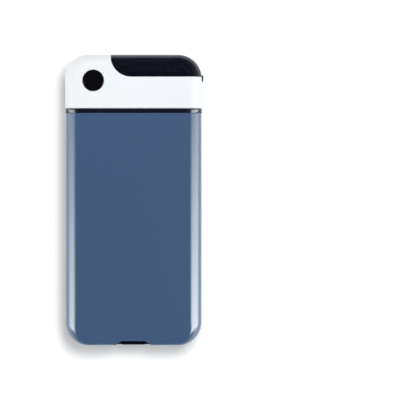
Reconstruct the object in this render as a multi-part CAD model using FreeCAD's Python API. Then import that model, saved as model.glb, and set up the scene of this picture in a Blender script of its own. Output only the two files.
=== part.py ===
# Timed lock container, in millimetres.
#
# The case lies on its back. +Z points out of its front, +Y towards its head and
# +X to the right of someone who faces the front. The origin is the centre of
# the flat back face. Each piece is built at rest: cover shut, bolt drawn back,
# buttons out.

import FreeCAD, Part
import math
import os
from FreeCAD import Vector

# ---------------------------------------------------------------- dimensions

# Outer form
case_width = 64.0
case_length = 136.0
case_depth = 28.0
corner_radius = 11.0      # corners in plan
side_round = 5.5          # front edge along the sides and the head
foot_round = 1.2          # front edge along the foot
back_round = 4.0
smallest_round = 0.4      # inner edges are never sharper than this
edge_break = 0.25         # broken edges along the parting line

# Walls
shell_wall = 2.0
cap_wall = 2.0
cover_wall = 1.6
liner_wall = 1.2
tray_wall = 1.2
lens_wall = 1.2
lock_wall = 1.2

# Where the case divides
front_height = 13.0       # cover and head cap, down from the front face
cover_gap = 0.2           # cover above the rear shell
cap_gap = 0.15            # head cap above the rear shell
head_length = 25.2        # white head, measured from the head end
seam_width = 2.15         # strip between head and cover

# Hinge, in the strip
hinge_depth = 1.05        # pin axis below the front face
hinge_setback = 6.0       # hinge's ends, from the case's sides
barrel_radius = 0.9
barrel_foot = 0.72        # foot of a fixed knuckle, beyond the pin axis
pin_radius = 0.5
running_clearance = 0.03
side_play = 0.2           # between neighbouring knuckles
middle_knuckle = 4.0      # half of the middle knuckle's length
outer_knuckle = 6.0
lug_depth = 1.45          # lug under the cover's skin
lug_reach = 4.2           # lug from the pin axis into the cover
lug_clearance = 0.3
lug_heel = 0.3            # lug beyond the pin axis

# Neck: the strip's fixed ends, which follow the case's outline
strip_recess = 0.2
strip_gap = 0.35
strip_edge = 0.45
core_recess = 1.2
core_gap = 0.15
bulkhead_recess = 2.2
bulkhead_reach = 0.9      # bulkhead beyond the strip, under the cover
lip_depth = 2.0           # lip under the head cap's lower edge
lip_wall = 1.0
cap_edge_round = 0.6
cover_edge_round = 0.3

# Finger notch and the tongue that stands in it
notch_depth = 2.1
notch_inner_half = 5.45
notch_outer_half = 8.35
tongue_half = 5.2
tongue_drop = 2.7         # tongue's top below the front face
tongue_recess = 0.25
nail_room = 2.0           # room for a fingernail behind the notch

# Liner
liner_gap = 0.2
rim_height = 3.2
liner_screw_side = 8.0    # screws from the case's sides
liner_screw_seam = 6.65   # upper pair from the cover's head edge
liner_screw_foot = 8.1    # lower pair from the tray's foot wall
small_screw_radius = 0.8
small_head_radius = 1.6
small_head_height = 0.6
small_screw_bite = 0.9
magnet_x = 14.0
magnet_seam = 5.45        # magnet from the cover's head edge
magnet_radius = 2.0
magnet_height = 1.2

# Compartment tray
tray_gap = 0.3
tray_drop = 8.0           # tray's rim below the front face
tray_edge_round = 2.3
tray_inner_round = 1.0

# Lock at the foot. Its places are measured from its housing.
lock_gap = 0.2            # housing to the tray
lock_foot_gap = 0.3       # housing to the shell's foot wall
lock_length = 11.4        # along the case
lock_left = -20.0
lock_right = 8.0
lock_drop = 6.0           # housing's top below the front face
lid_height = 1.4
motor_from_left = 8.5
motor_from_foot = 5.2
motor_radius = 4.0
motor_floor = 1.2         # housing below the motor
motor_roof = 1.5          # and above it, up to the bolt's shelf
motor_nose_height = 0.5
shaft_sunk = 2.5          # shaft inside the motor
shaft_drop = 0.8          # shaft's end below the lid
shaft_radius = 0.97
gear_module = 0.5
pinion_teeth = 10
pressure_angle = math.radians(25.0)
tooth_addendum = 0.4
tooth_dedendum = 0.5
backlash = 0.05
pinion_height = 2.8
bolt_room = 4.5           # shelf under the bolt, below the lid
bolt_height = 2.4
bolt_lift = 0.1           # bolt above its shelf
bolt_travel = 4.0
nose_width = 3.0
nose_clearance = 0.8      # bolt's tip from the steel eye, when drawn back
rack_back = 1.6           # bar behind the tooth roots
rack_clearance = 0.4      # rack's end from the housing's wall
block_from_motor = 3.5
block_width = 2.5
guide_gap = 0.15
keeper_from_foot = 5.4
keeper_thickness = 1.2
keeper_width = 6.0
keeper_flange = 5.0       # half of the flange's length in X
keeper_plate = 0.8
eye_margin_y = 0.3
eye_margin_z = 0.4
eye_sill = 1.4            # steel below the eye
keeper_screw_x = 3.0
slot_side = 0.6           # keeper slot beside the blade
slot_foot = 0.8           # and towards the foot, where the blade swings
slot_head = 0.3
strike_width = 3.6
lug_size = 5.0
left_lug_from_head = 3.1
right_lug_from_foot = 5.7
lock_boss_height = 6.0
lock_lug_height = 2.0
lock_screw_radius = 1.0
lock_head_radius = 1.8
lock_head_height = 1.2
lid_post = 2.6            # post in the chamber's corner, under a lid screw
lid_screw_bite = 5.0
lid_head_sink = 0.1

# Head: screws, boards and what they carry. A place is measured from the inside
# of a side wall, from the head end or from the seam, as its name says.
screw_side = 4.8
screw_head_end = 6.4
screw_seam = 2.6
inner_screw_side = 8.8
inner_screw_head_end = 12.6
boss_radius = 2.6
cap_boss_radius = 2.2
screw_radius = 1.0
screw_hole_gap = 0.15
screw_head_radius = 1.75
screw_head_height = 1.5
screw_seat = 5.0          # depth of the counterbore from the back
counterbore_gap = 0.15
screw_bite = 5.0          # screw in the head cap
board_thickness = 1.2
board_gap = 0.8           # board edge to the shell
hole_gap = 0.5            # board hole to boss
main_board_drop = 3.0     # lower board's underside below the parting line
main_board_seam = 0.6
left_standoff_side = 4.4
left_standoff_head_end = 11.8
right_standoff_side = 3.0
right_standoff_head_end = 16.5
end_standoff_x = 12.0
end_standoff_head_end = 4.3
standoff_radius = 1.5
display_board_drop = 7.8  # upper board's underside below the front face
display_board_seam = 1.6
low_post_x = -9.5
low_post_seam = 3.8
right_post_x = 13.0
right_post_head_end = 13.8
high_post_x = -8.6
high_post_head_end = 5.6
display_post_radius = 1.6
board_screw_radius = 0.7
board_head_radius = 1.4
board_head_height = 0.9
board_screw_bite = 2.4

# Parts on the lower board: middle in X, middle from the head end, length, width,
# height
chips = (
    (7.0, 13.0, 7.0, 7.0, 1.0),
    (-2.5, 10.5, 4.0, 4.0, 0.9),
    (16.0, 21.2, 3.6, 4.0, 2.0),
    (13.5, 8.7, 2.4, 1.2, 1.0),
    (-3.0, 16.0, 1.6, 3.2, 1.2),
    (0.4, 16.0, 1.6, 3.2, 1.2),
    (-15.2, 8.0, 5.0, 3.2, 1.4),
    (17.6, 5.7, 3.0, 1.6, 1.0),
)

# Display
window_head_end = 10.4    # lower edge of the smoked window
window_curve = 9.5        # its rounded lower left corner
window_curve_x = -1.0
window_side_drop = 7.6    # how far it wraps down the sides
window_gap = 0.08
panel_left = -3.0
panel_side = 9.2          # panel's right end from the case's side
panel_rise = 1.3          # panel above the window's lower edge
panel_width = 5.5
panel_thickness = 1.6
panel_gap = 0.1
frame_wall = 0.7
frame_floor = 1.0
frame_height = 2.2
view_margin = 0.7

# Buttons
button_side = 13.3        # from the case's side
button_head_end = 12.2
button_radius = 5.0
button_gap = 0.1
button_travel = 0.5
button_edge = 0.5
button_flange = 0.75
button_flange_height = 1.0
button_stem = 1.5
switch_size = 6.0
switch_height = 1.6
plunger_radius = 1.2
plunger_length = 1.4
plunger_proud = 0.7       # plunger above its switch
plunger_gap = 0.08
side_button_offset = 0.05  # its axis beyond the start of the corner's curve
side_button_drop = 2.2    # its axis below the upper board
side_button_radius = 1.5
side_button_proud = 0.75
side_button_travel = 0.4
side_flange = 0.5
side_flange_thickness = 1.0
side_flange_setback = 0.4
side_stem = 0.4
side_switch_length = 3.0
side_switch_width = 3.6
side_plunger_radius = 0.8
side_plunger_length = 1.6

# Power and sound
battery_left_side = 10.0
battery_right_side = 13.5
battery_seam = 0.8
battery_head_end = 6.4
battery_clearance = 1.4   # battery to the charging socket above it
pad_thickness = 0.4
battery_edge_share = 0.24  # rounding of its long edges, in battery heights
rib_height = 3.0
rib_wall = 0.7
rib_gap = 0.15
usb_width = 8.94
usb_height = 3.2
usb_length = 7.35
usb_setback = 0.4
usb_gap = 0.2
usb_wall = 0.3
usb_tongue = 0.7
buzzer_x = -12.0
buzzer_head_end = 16.0
buzzer_radius = 4.5
buzzer_height = 4.0
header_x = (-2.0, 10.0)
header_seam = 2.7
header_width = 2.5
sensor_seam = 2.8
sensor_size = (4.0, 1.6, 1.4)
lead_radius = 0.35
lead_step = 1.0           # between the two leads of a pair
lead_offset = 1.4         # motor leads beside the motor's axis
lead_room = 0.3           # round a lead where it passes a wall
lead_drop = 2.0           # leads in their groove, below the lower board
lead_bend = 2.1
groove_wall = 1.2         # shell wall left behind the groove
groove_foot = 2.9         # groove beyond the tray's foot wall
groove_head_end = 18.0
socket_size = (3.8, 3.4, 2.8)
motor_socket_side = 2.8
motor_socket_head_end = 16.85
motor_socket_run = 1.89   # leads beside the motor's socket, before they turn in
battery_socket_reach = 4.5
battery_lead_head_end = 18.1
battery_lead_step = 1.2

# ------------------------------------------------------------ derived values

# Limits of the case
half_width = case_width / 2
half_length = case_length / 2
floor_z = shell_wall
inner_x = half_width - shell_wall
parting_height = case_depth - front_height
skin_under = case_depth - cover_wall
liner_under = skin_under - liner_wall
cap_under = case_depth - cap_wall
cover_low = parting_height + cover_gap
cap_low = parting_height + cap_gap
head_edge_y = half_length - head_length
cover_edge_y = head_edge_y - seam_width

# Hinge and neck
hinge_y = head_edge_y - seam_width / 2
hinge_z = case_depth - hinge_depth
hinge_reach = half_width - hinge_setback
outer_knuckle_start = hinge_reach - outer_knuckle
strip_low_y = cover_edge_y + strip_gap
strip_high_y = head_edge_y - strip_gap
bulkhead_low_y = strip_low_y - bulkhead_reach
lug_bottom = skin_under - lug_depth
bulkhead_top = lug_bottom - lug_clearance

# Lock
lock_foot_y = -half_length + shell_wall + lock_foot_gap
lock_head_y = lock_foot_y + lock_length
lock_top = case_depth - lock_drop
lid_top = lock_top + lid_height
lock_lug_left = (lock_left - lug_size / 2, lock_head_y - left_lug_from_head)
lock_lug_right = (lock_right + lug_size / 2, lock_foot_y + right_lug_from_foot)
shelf_height = lock_top - bolt_room
motor_at = (lock_left + motor_from_left, lock_foot_y + motor_from_foot)
motor_low = floor_z + motor_floor
motor_high = shelf_height - motor_roof
shaft_low = motor_high - shaft_sunk
shaft_high = lock_top - shaft_drop
pitch_radius = gear_module * pinion_teeth / 2
tooth_pitch = math.pi * gear_module
rack_pitch_y = motor_at[1] + pitch_radius
rack_root_y = rack_pitch_y + tooth_dedendum
rack_back_y = rack_root_y + rack_back
rack_left = lock_left + lock_wall + rack_clearance
block_left = motor_at[0] + block_from_motor
block_right = block_left + block_width
bolt_low = shelf_height + bolt_lift
bolt_high = bolt_low + bolt_height
keeper_y = lock_foot_y + keeper_from_foot
nose_low_y = keeper_y - nose_width / 2
nose_high_y = keeper_y + nose_width / 2
strike_left = keeper_thickness / 2 + nose_clearance
strike_right = strike_left + strike_width
nose_tip_x = -strike_left
eye_low = bolt_low - eye_margin_z
eye_high = bolt_high + eye_margin_z
keeper_low = eye_low - eye_sill

# Compartment and cover
tray_half = inner_x - tray_gap
tray_top = case_depth - tray_drop
tray_foot_y = lock_head_y + lock_gap
tray_head_y = bulkhead_low_y - lock_gap / 2
liner_screw_x = half_width - liner_screw_side
liner_screw_y = (cover_edge_y - liner_screw_seam, tray_foot_y + liner_screw_foot)
magnet_at = (magnet_x, cover_edge_y - magnet_seam)

# Head
corner_screws = ((-inner_x + screw_side, half_length - screw_head_end),
                 (-inner_x + screw_side, head_edge_y + screw_seam),
                 (inner_x - screw_side, head_edge_y + screw_seam),
                 (inner_x - inner_screw_side, half_length - inner_screw_head_end))
main_board_height = parting_height - main_board_drop
main_board_top = main_board_height + board_thickness
main_board_low_y = head_edge_y + main_board_seam
standoffs = ((-inner_x + left_standoff_side, half_length - left_standoff_head_end),
             (inner_x - right_standoff_side, half_length - right_standoff_head_end),
             (end_standoff_x, half_length - end_standoff_head_end))
display_board_height = case_depth - display_board_drop
display_board_top = display_board_height + board_thickness
display_board_low_y = head_edge_y + display_board_seam
display_posts = ((low_post_x, head_edge_y + low_post_seam),
                 (right_post_x, half_length - right_post_head_end),
                 (high_post_x, half_length - high_post_head_end))
window_edge_y = half_length - window_head_end
window_side_low = case_depth - window_side_drop
panel_x = (panel_left, half_width - panel_side)
panel_low_y = window_edge_y + panel_rise
panel_y = (panel_low_y, panel_low_y + panel_width)
button_at = (-half_width + button_side, half_length - button_head_end)
switch_top = display_board_top + switch_height
plunger_top = switch_top + plunger_proud
side_button_y = half_length - corner_radius + side_button_offset
side_button_z = display_board_height - side_button_drop
battery_x = (-inner_x + battery_left_side, inner_x - battery_right_side)
battery_y = (head_edge_y + battery_seam, half_length - battery_head_end)
battery_low = floor_z + pad_thickness
battery_high = main_board_height - usb_height - battery_clearance
battery_edge = (battery_high - battery_low) * battery_edge_share
buzzer_at = (buzzer_x, half_length - buzzer_head_end)
header_low_y = head_edge_y + header_seam
sensor_at = (magnet_x, head_edge_y + sensor_seam)

# Leads
motor_lead_y = motor_at[1] - lead_offset
motor_lead_low = motor_low + lead_offset
lead_height = main_board_height - lead_drop
groove_depth = shell_wall - groove_wall
groove_y = (tray_foot_y - groove_foot, half_length - groove_head_end)
lead_x = -(tray_half + inner_x + groove_depth) / 2
motor_socket_x = -inner_x + motor_socket_side
motor_socket_y = half_length - motor_socket_head_end
battery_socket_x = battery_x[1] + battery_socket_reach
battery_lead_y = half_length - battery_lead_head_end
battery_lead_low = (battery_low + battery_high) / 2


# ------------------------------------------------------------------- helpers

def box(x_span, y_span, z_span):
    """Solid box between three pairs of limits."""
    size = [max(span) - min(span) for span in (x_span, y_span, z_span)]
    return Part.makeBox(*size, Vector(min(x_span), min(y_span), min(z_span)))


def upright(at, radius, z_span):
    """Cylinder along Z about the point `at`."""
    base = Vector(at[0], at[1], min(z_span))
    return Part.makeCylinder(radius, abs(z_span[1] - z_span[0]), base)


def across(y, z, radius, x_span):
    """Cylinder along X."""
    base = Vector(min(x_span), y, z)
    return Part.makeCylinder(radius, abs(x_span[1] - x_span[0]), base, Vector(1, 0, 0))


def prism(points, z_span):
    """Straight-sided outline in plan, raised between two heights."""
    low = min(z_span)
    outline = Part.makePolygon([Vector(x, y, low) for x, y in points + points[:1]])
    return Part.Face(outline).extrude(Vector(0, 0, abs(z_span[1] - z_span[0])))


def joined(shapes):
    """One solid from shapes that meet."""
    result = shapes[0]
    for shape in shapes[1:]:
        result = result.fuse(shape)
    return result.removeSplitter()


def without(shape, cutters):
    """The shape with each cutter taken away."""
    for cutter in cutters:
        shape = shape.cut(cutter)
    return shape


def rounded_edges(shape, radius, wanted):
    """Round the edges whose middle satisfies `wanted`."""
    chosen = [edge for edge in shape.Edges if wanted(edge)]
    return shape.makeFillet(radius, chosen)


def save(node, shapes):
    """Write one node, as one solid or as a group of separate solids."""
    solids = [solid for shape in shapes for solid in shape.Solids]
    for solid in solids:
        if not solid.isValid():
            raise ValueError(node + " holds a faulty solid")
    whole = solids[0] if len(solids) == 1 else Part.makeCompound(solids)
    whole.exportStep(os.path.join("parts", node + ".step"))


def plan_outline(inset, height):
    """The case's outline in plan, drawn in by `inset`."""
    radius = corner_radius - inset
    x = half_width - inset
    y = half_length - inset
    bulge = radius * (1 - math.sqrt(0.5))
    corners = ((x, -y, -1, 1), (x, y, -1, -1), (-x, y, 1, -1), (-x, -y, 1, 1))
    arcs = []
    for corner_x, corner_y, step_x, step_y in corners:
        on_end = Vector(corner_x + step_x * radius, corner_y, height)
        middle = Vector(corner_x + step_x * bulge, corner_y + step_y * bulge, height)
        on_side = Vector(corner_x, corner_y + step_y * radius, height)
        ends = (on_end, on_side) if corner_x * corner_y < 0 else (on_side, on_end)
        arcs.append(Part.Arc(ends[0], middle, ends[1]))
    edges = []
    for arc, following in zip(arcs, arcs[1:] + arcs[:1]):
        edges.append(arc.toShape())
        edges.append(Part.LineSegment(arc.EndPoint, following.StartPoint).toShape())
    return Part.Face(Part.Wire(edges))


def case_form(inset, front_inset, low, back_inset=None):
    """The case's rounded body, drawn in by `inset` and cut off level at `low`.

    The front edge is rounded along the sides and the head. Round the two foot
    corners the rounding runs out to the small one along the foot. Where
    `back_inset` is given, the back edge is rounded too.
    """
    top = case_depth - front_inset
    block = plan_outline(inset, low).extrude(Vector(0, 0, top - low))
    side = max(side_round - front_inset, smallest_round)
    foot = max(foot_round - front_inset, smallest_round)
    rows = []
    for number, edge in enumerate(block.Edges, 1):
        limits = edge.BoundBox
        if limits.ZLength > edge_break:
            continue
        middle = edge.CenterOfMass
        turns = limits.XLength > edge_break and limits.YLength > edge_break
        if limits.ZMin < (low + top) / 2:
            if back_inset is not None:
                back = max(back_round - back_inset, smallest_round)
                rows.append((number, back, back))
        elif turns and middle.y < 0:
            from_foot = edge.Vertexes[0].Point.y < edge.Vertexes[-1].Point.y
            rows.append((number, foot, side) if from_foot else (number, side, foot))
        elif not turns and middle.y < -(half_length - inset) / 2 and limits.XLength > limits.YLength:
            rows.append((number, foot, foot))
        else:
            rows.append((number, side, side))
    document = FreeCAD.newDocument("form")
    base = document.addObject("Part::Feature", "block")
    base.Shape = block
    rounding = document.addObject("Part::Fillet", "rounding")
    rounding.Base = base
    rounding.Edges = rows
    document.recompute()
    body = rounding.Shape.Solids[0].copy()
    FreeCAD.closeDocument("form")
    return body


def slab(y_span, z_span=(0.0, case_depth + shell_wall)):
    """Everything between two places along the case."""
    return box((-case_width, case_width), y_span, z_span)


def screw(at, radius, shank_span, head_radius, head_height, head_up):
    """Upright screw: the shank's span, with the head beyond one of its ends."""
    shank = upright(at, radius, shank_span)
    start = max(shank_span) if head_up else min(shank_span)
    end = start + head_height if head_up else start - head_height
    return joined([shank, upright(at, head_radius, (start, end))])


def lead(points):
    """Round wire along straight runs that are joined by arcs."""
    corners = [Vector(*point) for point in points]
    edges = []
    start = corners[0]
    for before, corner, after in zip(corners, corners[1:], corners[2:]):
        way_in = (corner - before).normalize()
        way_out = (after - corner).normalize()
        turn = way_in.getAngle(way_out)
        back_off = lead_bend * math.tan(turn / 2)
        arc_start = corner - way_in * back_off
        arc_end = corner + way_out * back_off
        inward = (way_out - way_in).normalize()
        middle = corner + inward * lead_bend * (1 / math.cos(turn / 2) - 1)
        edges.append(Part.LineSegment(start, arc_start).toShape())
        edges.append(Part.Arc(arc_start, middle, arc_end).toShape())
        start = arc_end
    edges.append(Part.LineSegment(start, corners[-1]).toShape())
    circle = Part.Circle(corners[0], corners[1] - corners[0], lead_radius)
    return Part.Wire(edges).makePipeShell([Part.Wire(circle.toShape())], True, False)


# -------------------------------------------------------------------- casing

outer_form = case_form(0.0, 0.0, 0.0, back_inset=0.0)
front_form = case_form(0.0, 0.0, cover_low - cover_gap)


def rear_shell():
    """Back shell with bulkhead, neck, fixed knuckles, tongue and bosses."""
    hollow = case_form(shell_wall, shell_wall, floor_z, back_inset=shell_wall)
    above = slab((-case_length, case_length), (parting_height, case_depth + shell_wall))
    tub = outer_form.cut(above).cut(hollow)
    tub = rounded_edges(tub, edge_break, on_outer_rim)

    strip = case_form(strip_recess, strip_recess, floor_z + back_round)
    strip = strip.common(slab((strip_low_y, strip_high_y)))
    strip = rounded_edges(strip, strip_edge, crosses_strip)
    core = case_form(core_recess, core_recess, floor_z)
    core = core.common(slab((cover_edge_y + core_gap, head_edge_y - core_gap)))
    wall = case_form(bulkhead_recess, bulkhead_recess, floor_z)
    wall = wall.common(slab((bulkhead_low_y, strip_high_y)))
    neck = joined([strip, core, wall])
    for_hinge = box((-hinge_reach, hinge_reach), (cover_edge_y - case_depth, head_edge_y),
                    (bulkhead_top, case_depth + shell_wall))
    neck = neck.cut(for_hinge)

    pieces = [tub, neck]
    for x_span in fixed_knuckle_spans():
        foot = box(x_span, (hinge_y - barrel_foot, strip_high_y),
                   (bulkhead_top - shell_wall, hinge_z))
        pieces.append(foot)
        pieces.append(across(hinge_y, hinge_z, barrel_radius, x_span))

    tongue_y = (-half_length + tongue_recess, -half_length + shell_wall)
    tongue = box((-tongue_half, tongue_half), tongue_y,
                 (parting_height - shell_wall, case_depth - tongue_drop))
    pieces.append(rounded_edges(tongue, edge_break * 2, is_top_outer_edge))

    for at in corner_screws:
        pieces.append(upright(at, boss_radius, (floor_z / 2, parting_height)))
    for at in standoffs:
        pieces.append(upright(at, standoff_radius, (floor_z / 2, main_board_height)))
    for at in (lock_lug_left, lock_lug_right):
        pieces.append(upright(at, lug_size / 2, (floor_z / 2, lock_boss_height)))
    rib_y = (battery_y[0] + rib_height, battery_y[1] - rib_height)
    for x_span in ((battery_x[0] - rib_gap - rib_wall, battery_x[0] - rib_gap),
                   (battery_x[1] + rib_gap, battery_x[1] + rib_gap + rib_wall)):
        pieces.append(box(x_span, rib_y, (floor_z / 2, floor_z + rib_height)))
    body = joined(pieces)

    cuts = []
    for at in corner_screws:
        cuts.append(upright(at, screw_head_radius + counterbore_gap, (-shell_wall, screw_seat)))
        cuts.append(upright(at, screw_radius + screw_hole_gap, (0.0, case_depth)))
    for at in standoffs:
        cuts.append(upright(at, board_screw_radius,
                            (main_board_height - board_screw_bite, main_board_height)))
    for at in (lock_lug_left, lock_lug_right):
        cuts.append(upright(at, lock_screw_radius, (floor_z, lock_boss_height)))
    cuts.append(across(hinge_y, hinge_z, pin_radius + running_clearance,
                       (-hinge_reach - edge_break, hinge_reach + edge_break)))
    cuts.append(usb_opening())
    margin = lead_radius + lead_room
    cuts.append(box((-inner_x - groove_depth, lead_x + lead_radius * 2), groove_y,
                    (lead_height - margin, lead_height + lead_step + margin)))
    cuts.append(box((battery_x[1], battery_socket_x),
                    (battery_lead_y - margin, battery_lead_y + battery_lead_step + margin),
                    (battery_lead_low - margin, main_board_height)))
    return without(body, cuts)


def on_outer_rim(edge):
    """Outer edge of the rear shell's rim."""
    limits = edge.BoundBox
    level = limits.ZLength < edge_break and abs(limits.ZMax - parting_height) < edge_break / 2
    reach_x = max(abs(limits.XMin), abs(limits.XMax))
    reach_y = max(abs(limits.YMin), abs(limits.YMax))
    return level and (reach_x > half_width - edge_break or reach_y > half_length - edge_break)


def crosses_strip(edge):
    """Outer edges of the neck's strip, on both of its flanks."""
    limits = edge.BoundBox
    flat = limits.YLength < edge_break
    raised = limits.ZMax > floor_z + back_round + edge_break
    return flat and raised


def is_top_outer_edge(edge):
    """Top edge of the tongue, on its outer face."""
    limits = edge.BoundBox
    level = limits.XLength > tongue_half and limits.ZLength < edge_break
    return level and limits.ZMin > parting_height and limits.YMax < -half_length + shell_wall / 2


def fixed_knuckle_spans():
    """Where the knuckles of the rear shell lie along the pin."""
    return ((-middle_knuckle, middle_knuckle),
            (outer_knuckle_start, hinge_reach + edge_break),
            (-hinge_reach - edge_break, -outer_knuckle_start))


def lug_spans():
    """Where the lugs of the cover lie along the pin."""
    inner = middle_knuckle + side_play
    outer = outer_knuckle_start - side_play
    return ((inner, outer), (-outer, -inner))


def head_cap():
    """White cap over the electronics, with rebate, button holes and posts."""
    outer = outer_form.common(slab((head_edge_y, case_length), (cap_low, case_depth)))
    outer = rounded_edges(outer, cap_edge_round, on_cap_front_edge)
    inner = case_form(cap_wall, cap_wall, floor_z)
    pieces = [outer.cut(inner)]
    fill = case_form(cap_wall / 2, cap_wall / 2, floor_z)
    lip = slab((head_edge_y, head_edge_y + lip_wall), (cap_under - lip_depth, cap_under + cap_wall / 2))
    pieces.append(fill.common(lip))
    for at in corner_screws:
        pieces.append(fill.common(upright(at, cap_boss_radius, (parting_height, case_depth))))
    for at in display_posts:
        pieces.append(fill.common(upright(at, display_post_radius, (display_board_top, case_depth))))
    body = joined(pieces)

    cuts = [window_zone(window_gap).cut(case_form(lens_wall, lens_wall, floor_z))]
    view_x = (panel_x[0] + view_margin, panel_x[1] - view_margin)
    view_y = (panel_y[0] + view_margin, panel_y[1] - view_margin)
    cuts.append(box(view_x, view_y, (cap_under - cap_wall, case_depth)))
    cuts.append(upright(button_at, button_radius + button_gap, (cap_under - cap_wall, case_depth)))
    cuts.append(across(side_button_y, side_button_z, side_button_radius + button_gap,
                       (inner_x - cap_wall, half_width + cap_wall)))
    for at in corner_screws:
        cuts.append(upright(at, screw_radius, (0.0, parting_height + screw_bite)))
    for at in display_posts:
        cuts.append(upright(at, board_screw_radius,
                            (display_board_top, display_board_top + board_screw_bite)))
    return without(body, cuts)


def on_cap_front_edge(edge):
    """Front part of the head cap's lower edge, beside the strip."""
    limits = edge.BoundBox
    beside = limits.YLength < edge_break and abs(limits.YMax - head_edge_y) < edge_break
    return beside and limits.ZMax > cap_low + edge_break


def window_zone(gap):
    """Plan area of the smoked window, raised through the front and the sides."""
    centre_y = window_edge_y + window_curve
    radius = window_curve + gap
    beyond = case_width
    left = window_curve_x - radius
    low = window_side_low - gap
    turn = radius * math.sqrt(0.5)
    corner = Part.Arc(Vector(left, centre_y, low),
                      Vector(window_curve_x - turn, centre_y - turn, low),
                      Vector(window_curve_x, centre_y - radius, low))
    path = [Vector(window_curve_x, centre_y - radius, low), Vector(beyond, centre_y - radius, low),
            Vector(beyond, case_length, low), Vector(left, case_length, low),
            Vector(left, centre_y, low)]
    outline = Part.Wire([corner.toShape()] + Part.makePolygon(path).Edges)
    return Part.Face(outline).extrude(Vector(0, 0, case_depth))


def display_window():
    """Smoked lens that wraps over the top right corner."""
    return window_zone(0.0).common(outer_form).cut(case_form(lens_wall, lens_wall, floor_z))


def usb_opening():
    """Round-ended opening for the charging plug, through the top end."""
    return usb_outline(usb_gap, (half_length - usb_length, half_length + shell_wall))


def usb_outline(grow, y_span):
    """Round-ended bar along Y, as large as the charging socket plus `grow`."""
    middle = main_board_height - usb_height / 2
    radius = usb_height / 2 + grow
    reach = (usb_width - usb_height) / 2
    length = abs(y_span[1] - y_span[0])
    pieces = [box((-reach, reach), y_span, (middle - radius, middle + radius))]
    for x in (-reach, reach):
        pieces.append(Part.makeCylinder(radius, length, Vector(x, min(y_span), middle), Vector(0, 1, 0)))
    return joined(pieces)


# --------------------------------------------------------------------- cover

def notch():
    """Finger notch, wider at the foot than behind it."""
    inner_y = -half_length + notch_depth
    flare = (notch_outer_half - notch_inner_half) / notch_depth
    reach = notch_outer_half + flare * notch_depth
    low_y = -half_length - notch_depth
    points = [(-notch_inner_half, inner_y), (notch_inner_half, inner_y), (reach, low_y), (-reach, low_y)]
    return prism(points, (0.0, case_depth + cover_wall))


def front_cover():
    """Blue-grey skin of the flip cover."""
    skin = front_form.common(slab((-case_length, cover_edge_y), (cover_low, case_depth)))
    skin = rounded_edges(skin, cover_edge_round, on_cover_edge)
    skin = skin.cut(case_form(cover_wall, cover_wall, floor_z))
    cuts = [notch()]
    for at in liner_screw_spots():
        cuts.append(upright(at, small_screw_radius, (skin_under, skin_under + small_screw_bite)))
    for at in keeper_screw_spots():
        cuts.append(upright(at, small_screw_radius, (skin_under, skin_under + small_screw_bite)))
    return without(skin, cuts)


def on_cover_edge(edge):
    """Head edge of the cover, beside the strip."""
    limits = edge.BoundBox
    beside = limits.YLength < edge_break and abs(limits.YMax - cover_edge_y) < edge_break
    return beside and limits.ZMax > cover_low + edge_break


def liner_screw_spots():
    """The four screws that hold the liner to the skin."""
    return [(side * liner_screw_x, y) for side in (-1, 1) for y in liner_screw_y]


def keeper_screw_spots():
    """The two screws that hold the steel eye."""
    return [(side * keeper_screw_x, keeper_y) for side in (-1, 1)]


def cover_liner():
    """Inner panel of the cover, with side rims and the hinge's lugs."""
    outer = case_form(cover_wall + liner_gap, cover_wall, floor_z)
    inner = case_form(cover_wall + liner_gap + liner_wall, cover_wall + liner_wall, 0.0)
    head_limit = hinge_y - barrel_radius * 2
    body = outer.cut(inner)
    body = body.common(slab((-case_length, head_limit), (liner_under - rim_height, case_depth)))
    body = body.cut(slab((-case_length, tray_foot_y), (0.0, liner_under)))
    finger = box((-notch_outer_half, notch_outer_half),
                 (-case_length, -half_length + notch_depth + nail_room), (0.0, case_depth))
    body = body.cut(finger)
    pieces = [body]
    for x_span in lug_spans():
        arm_y = (hinge_y - lug_reach, hinge_y + lug_heel)
        pieces.append(box(x_span, arm_y, (lug_bottom, skin_under)))
        pieces.append(across(hinge_y, hinge_z, barrel_radius, x_span))
    body = joined(pieces)
    cuts = [across(hinge_y, hinge_z, pin_radius + running_clearance, (-hinge_reach, hinge_reach))]
    for at in liner_screw_spots() + keeper_screw_spots():
        cuts.append(upright(at, small_screw_radius, (liner_under - lug_depth, case_depth)))
    return without(body, cuts)


def latch_keeper():
    """Steel eye that hangs from the cover and takes the bolt."""
    half = keeper_thickness / 2
    blade_y = (keeper_y - keeper_width / 2, keeper_y + keeper_width / 2)
    flange_low = liner_under - keeper_plate
    flange = box((-keeper_flange, keeper_flange), blade_y, (flange_low, liner_under))
    blade = box((-half, half), blade_y, (keeper_low, liner_under))
    eye = box((-half * 2, half * 2), (nose_low_y - eye_margin_y, nose_high_y + eye_margin_y),
              (eye_low, eye_high))
    cuts = [eye] + [upright(at, small_screw_radius, (flange_low, liner_under))
                    for at in keeper_screw_spots()]
    return without(joined([flange, blade]), cuts)


def cover_screws(spots, under):
    """Small screws that go up through the liner into the skin."""
    span = (under, skin_under + small_screw_bite)
    return [screw(at, small_screw_radius, span, small_head_radius, small_head_height, False)
            for at in spots]


def hinge_pin():
    """Steel pin through all the knuckles."""
    return across(hinge_y, hinge_z, pin_radius, (-hinge_reach, hinge_reach))


# --------------------------------------------------------------- compartment

def inner_tray():
    """Tray that lines the compartment and stands up into the cover."""
    outer = box((-tray_half, tray_half), (tray_foot_y, tray_head_y), (floor_z, tray_top))
    outer = rounded_edges(outer, tray_edge_round, is_long_bottom_edge)
    inner_half = tray_half - tray_wall
    inner = box((-inner_half, inner_half), (tray_foot_y + tray_wall, tray_head_y - tray_wall),
                (floor_z + tray_wall, tray_top + tray_wall))
    inner = rounded_edges(inner, tray_inner_round, is_inner_edge)
    return outer.cut(inner)


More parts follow.
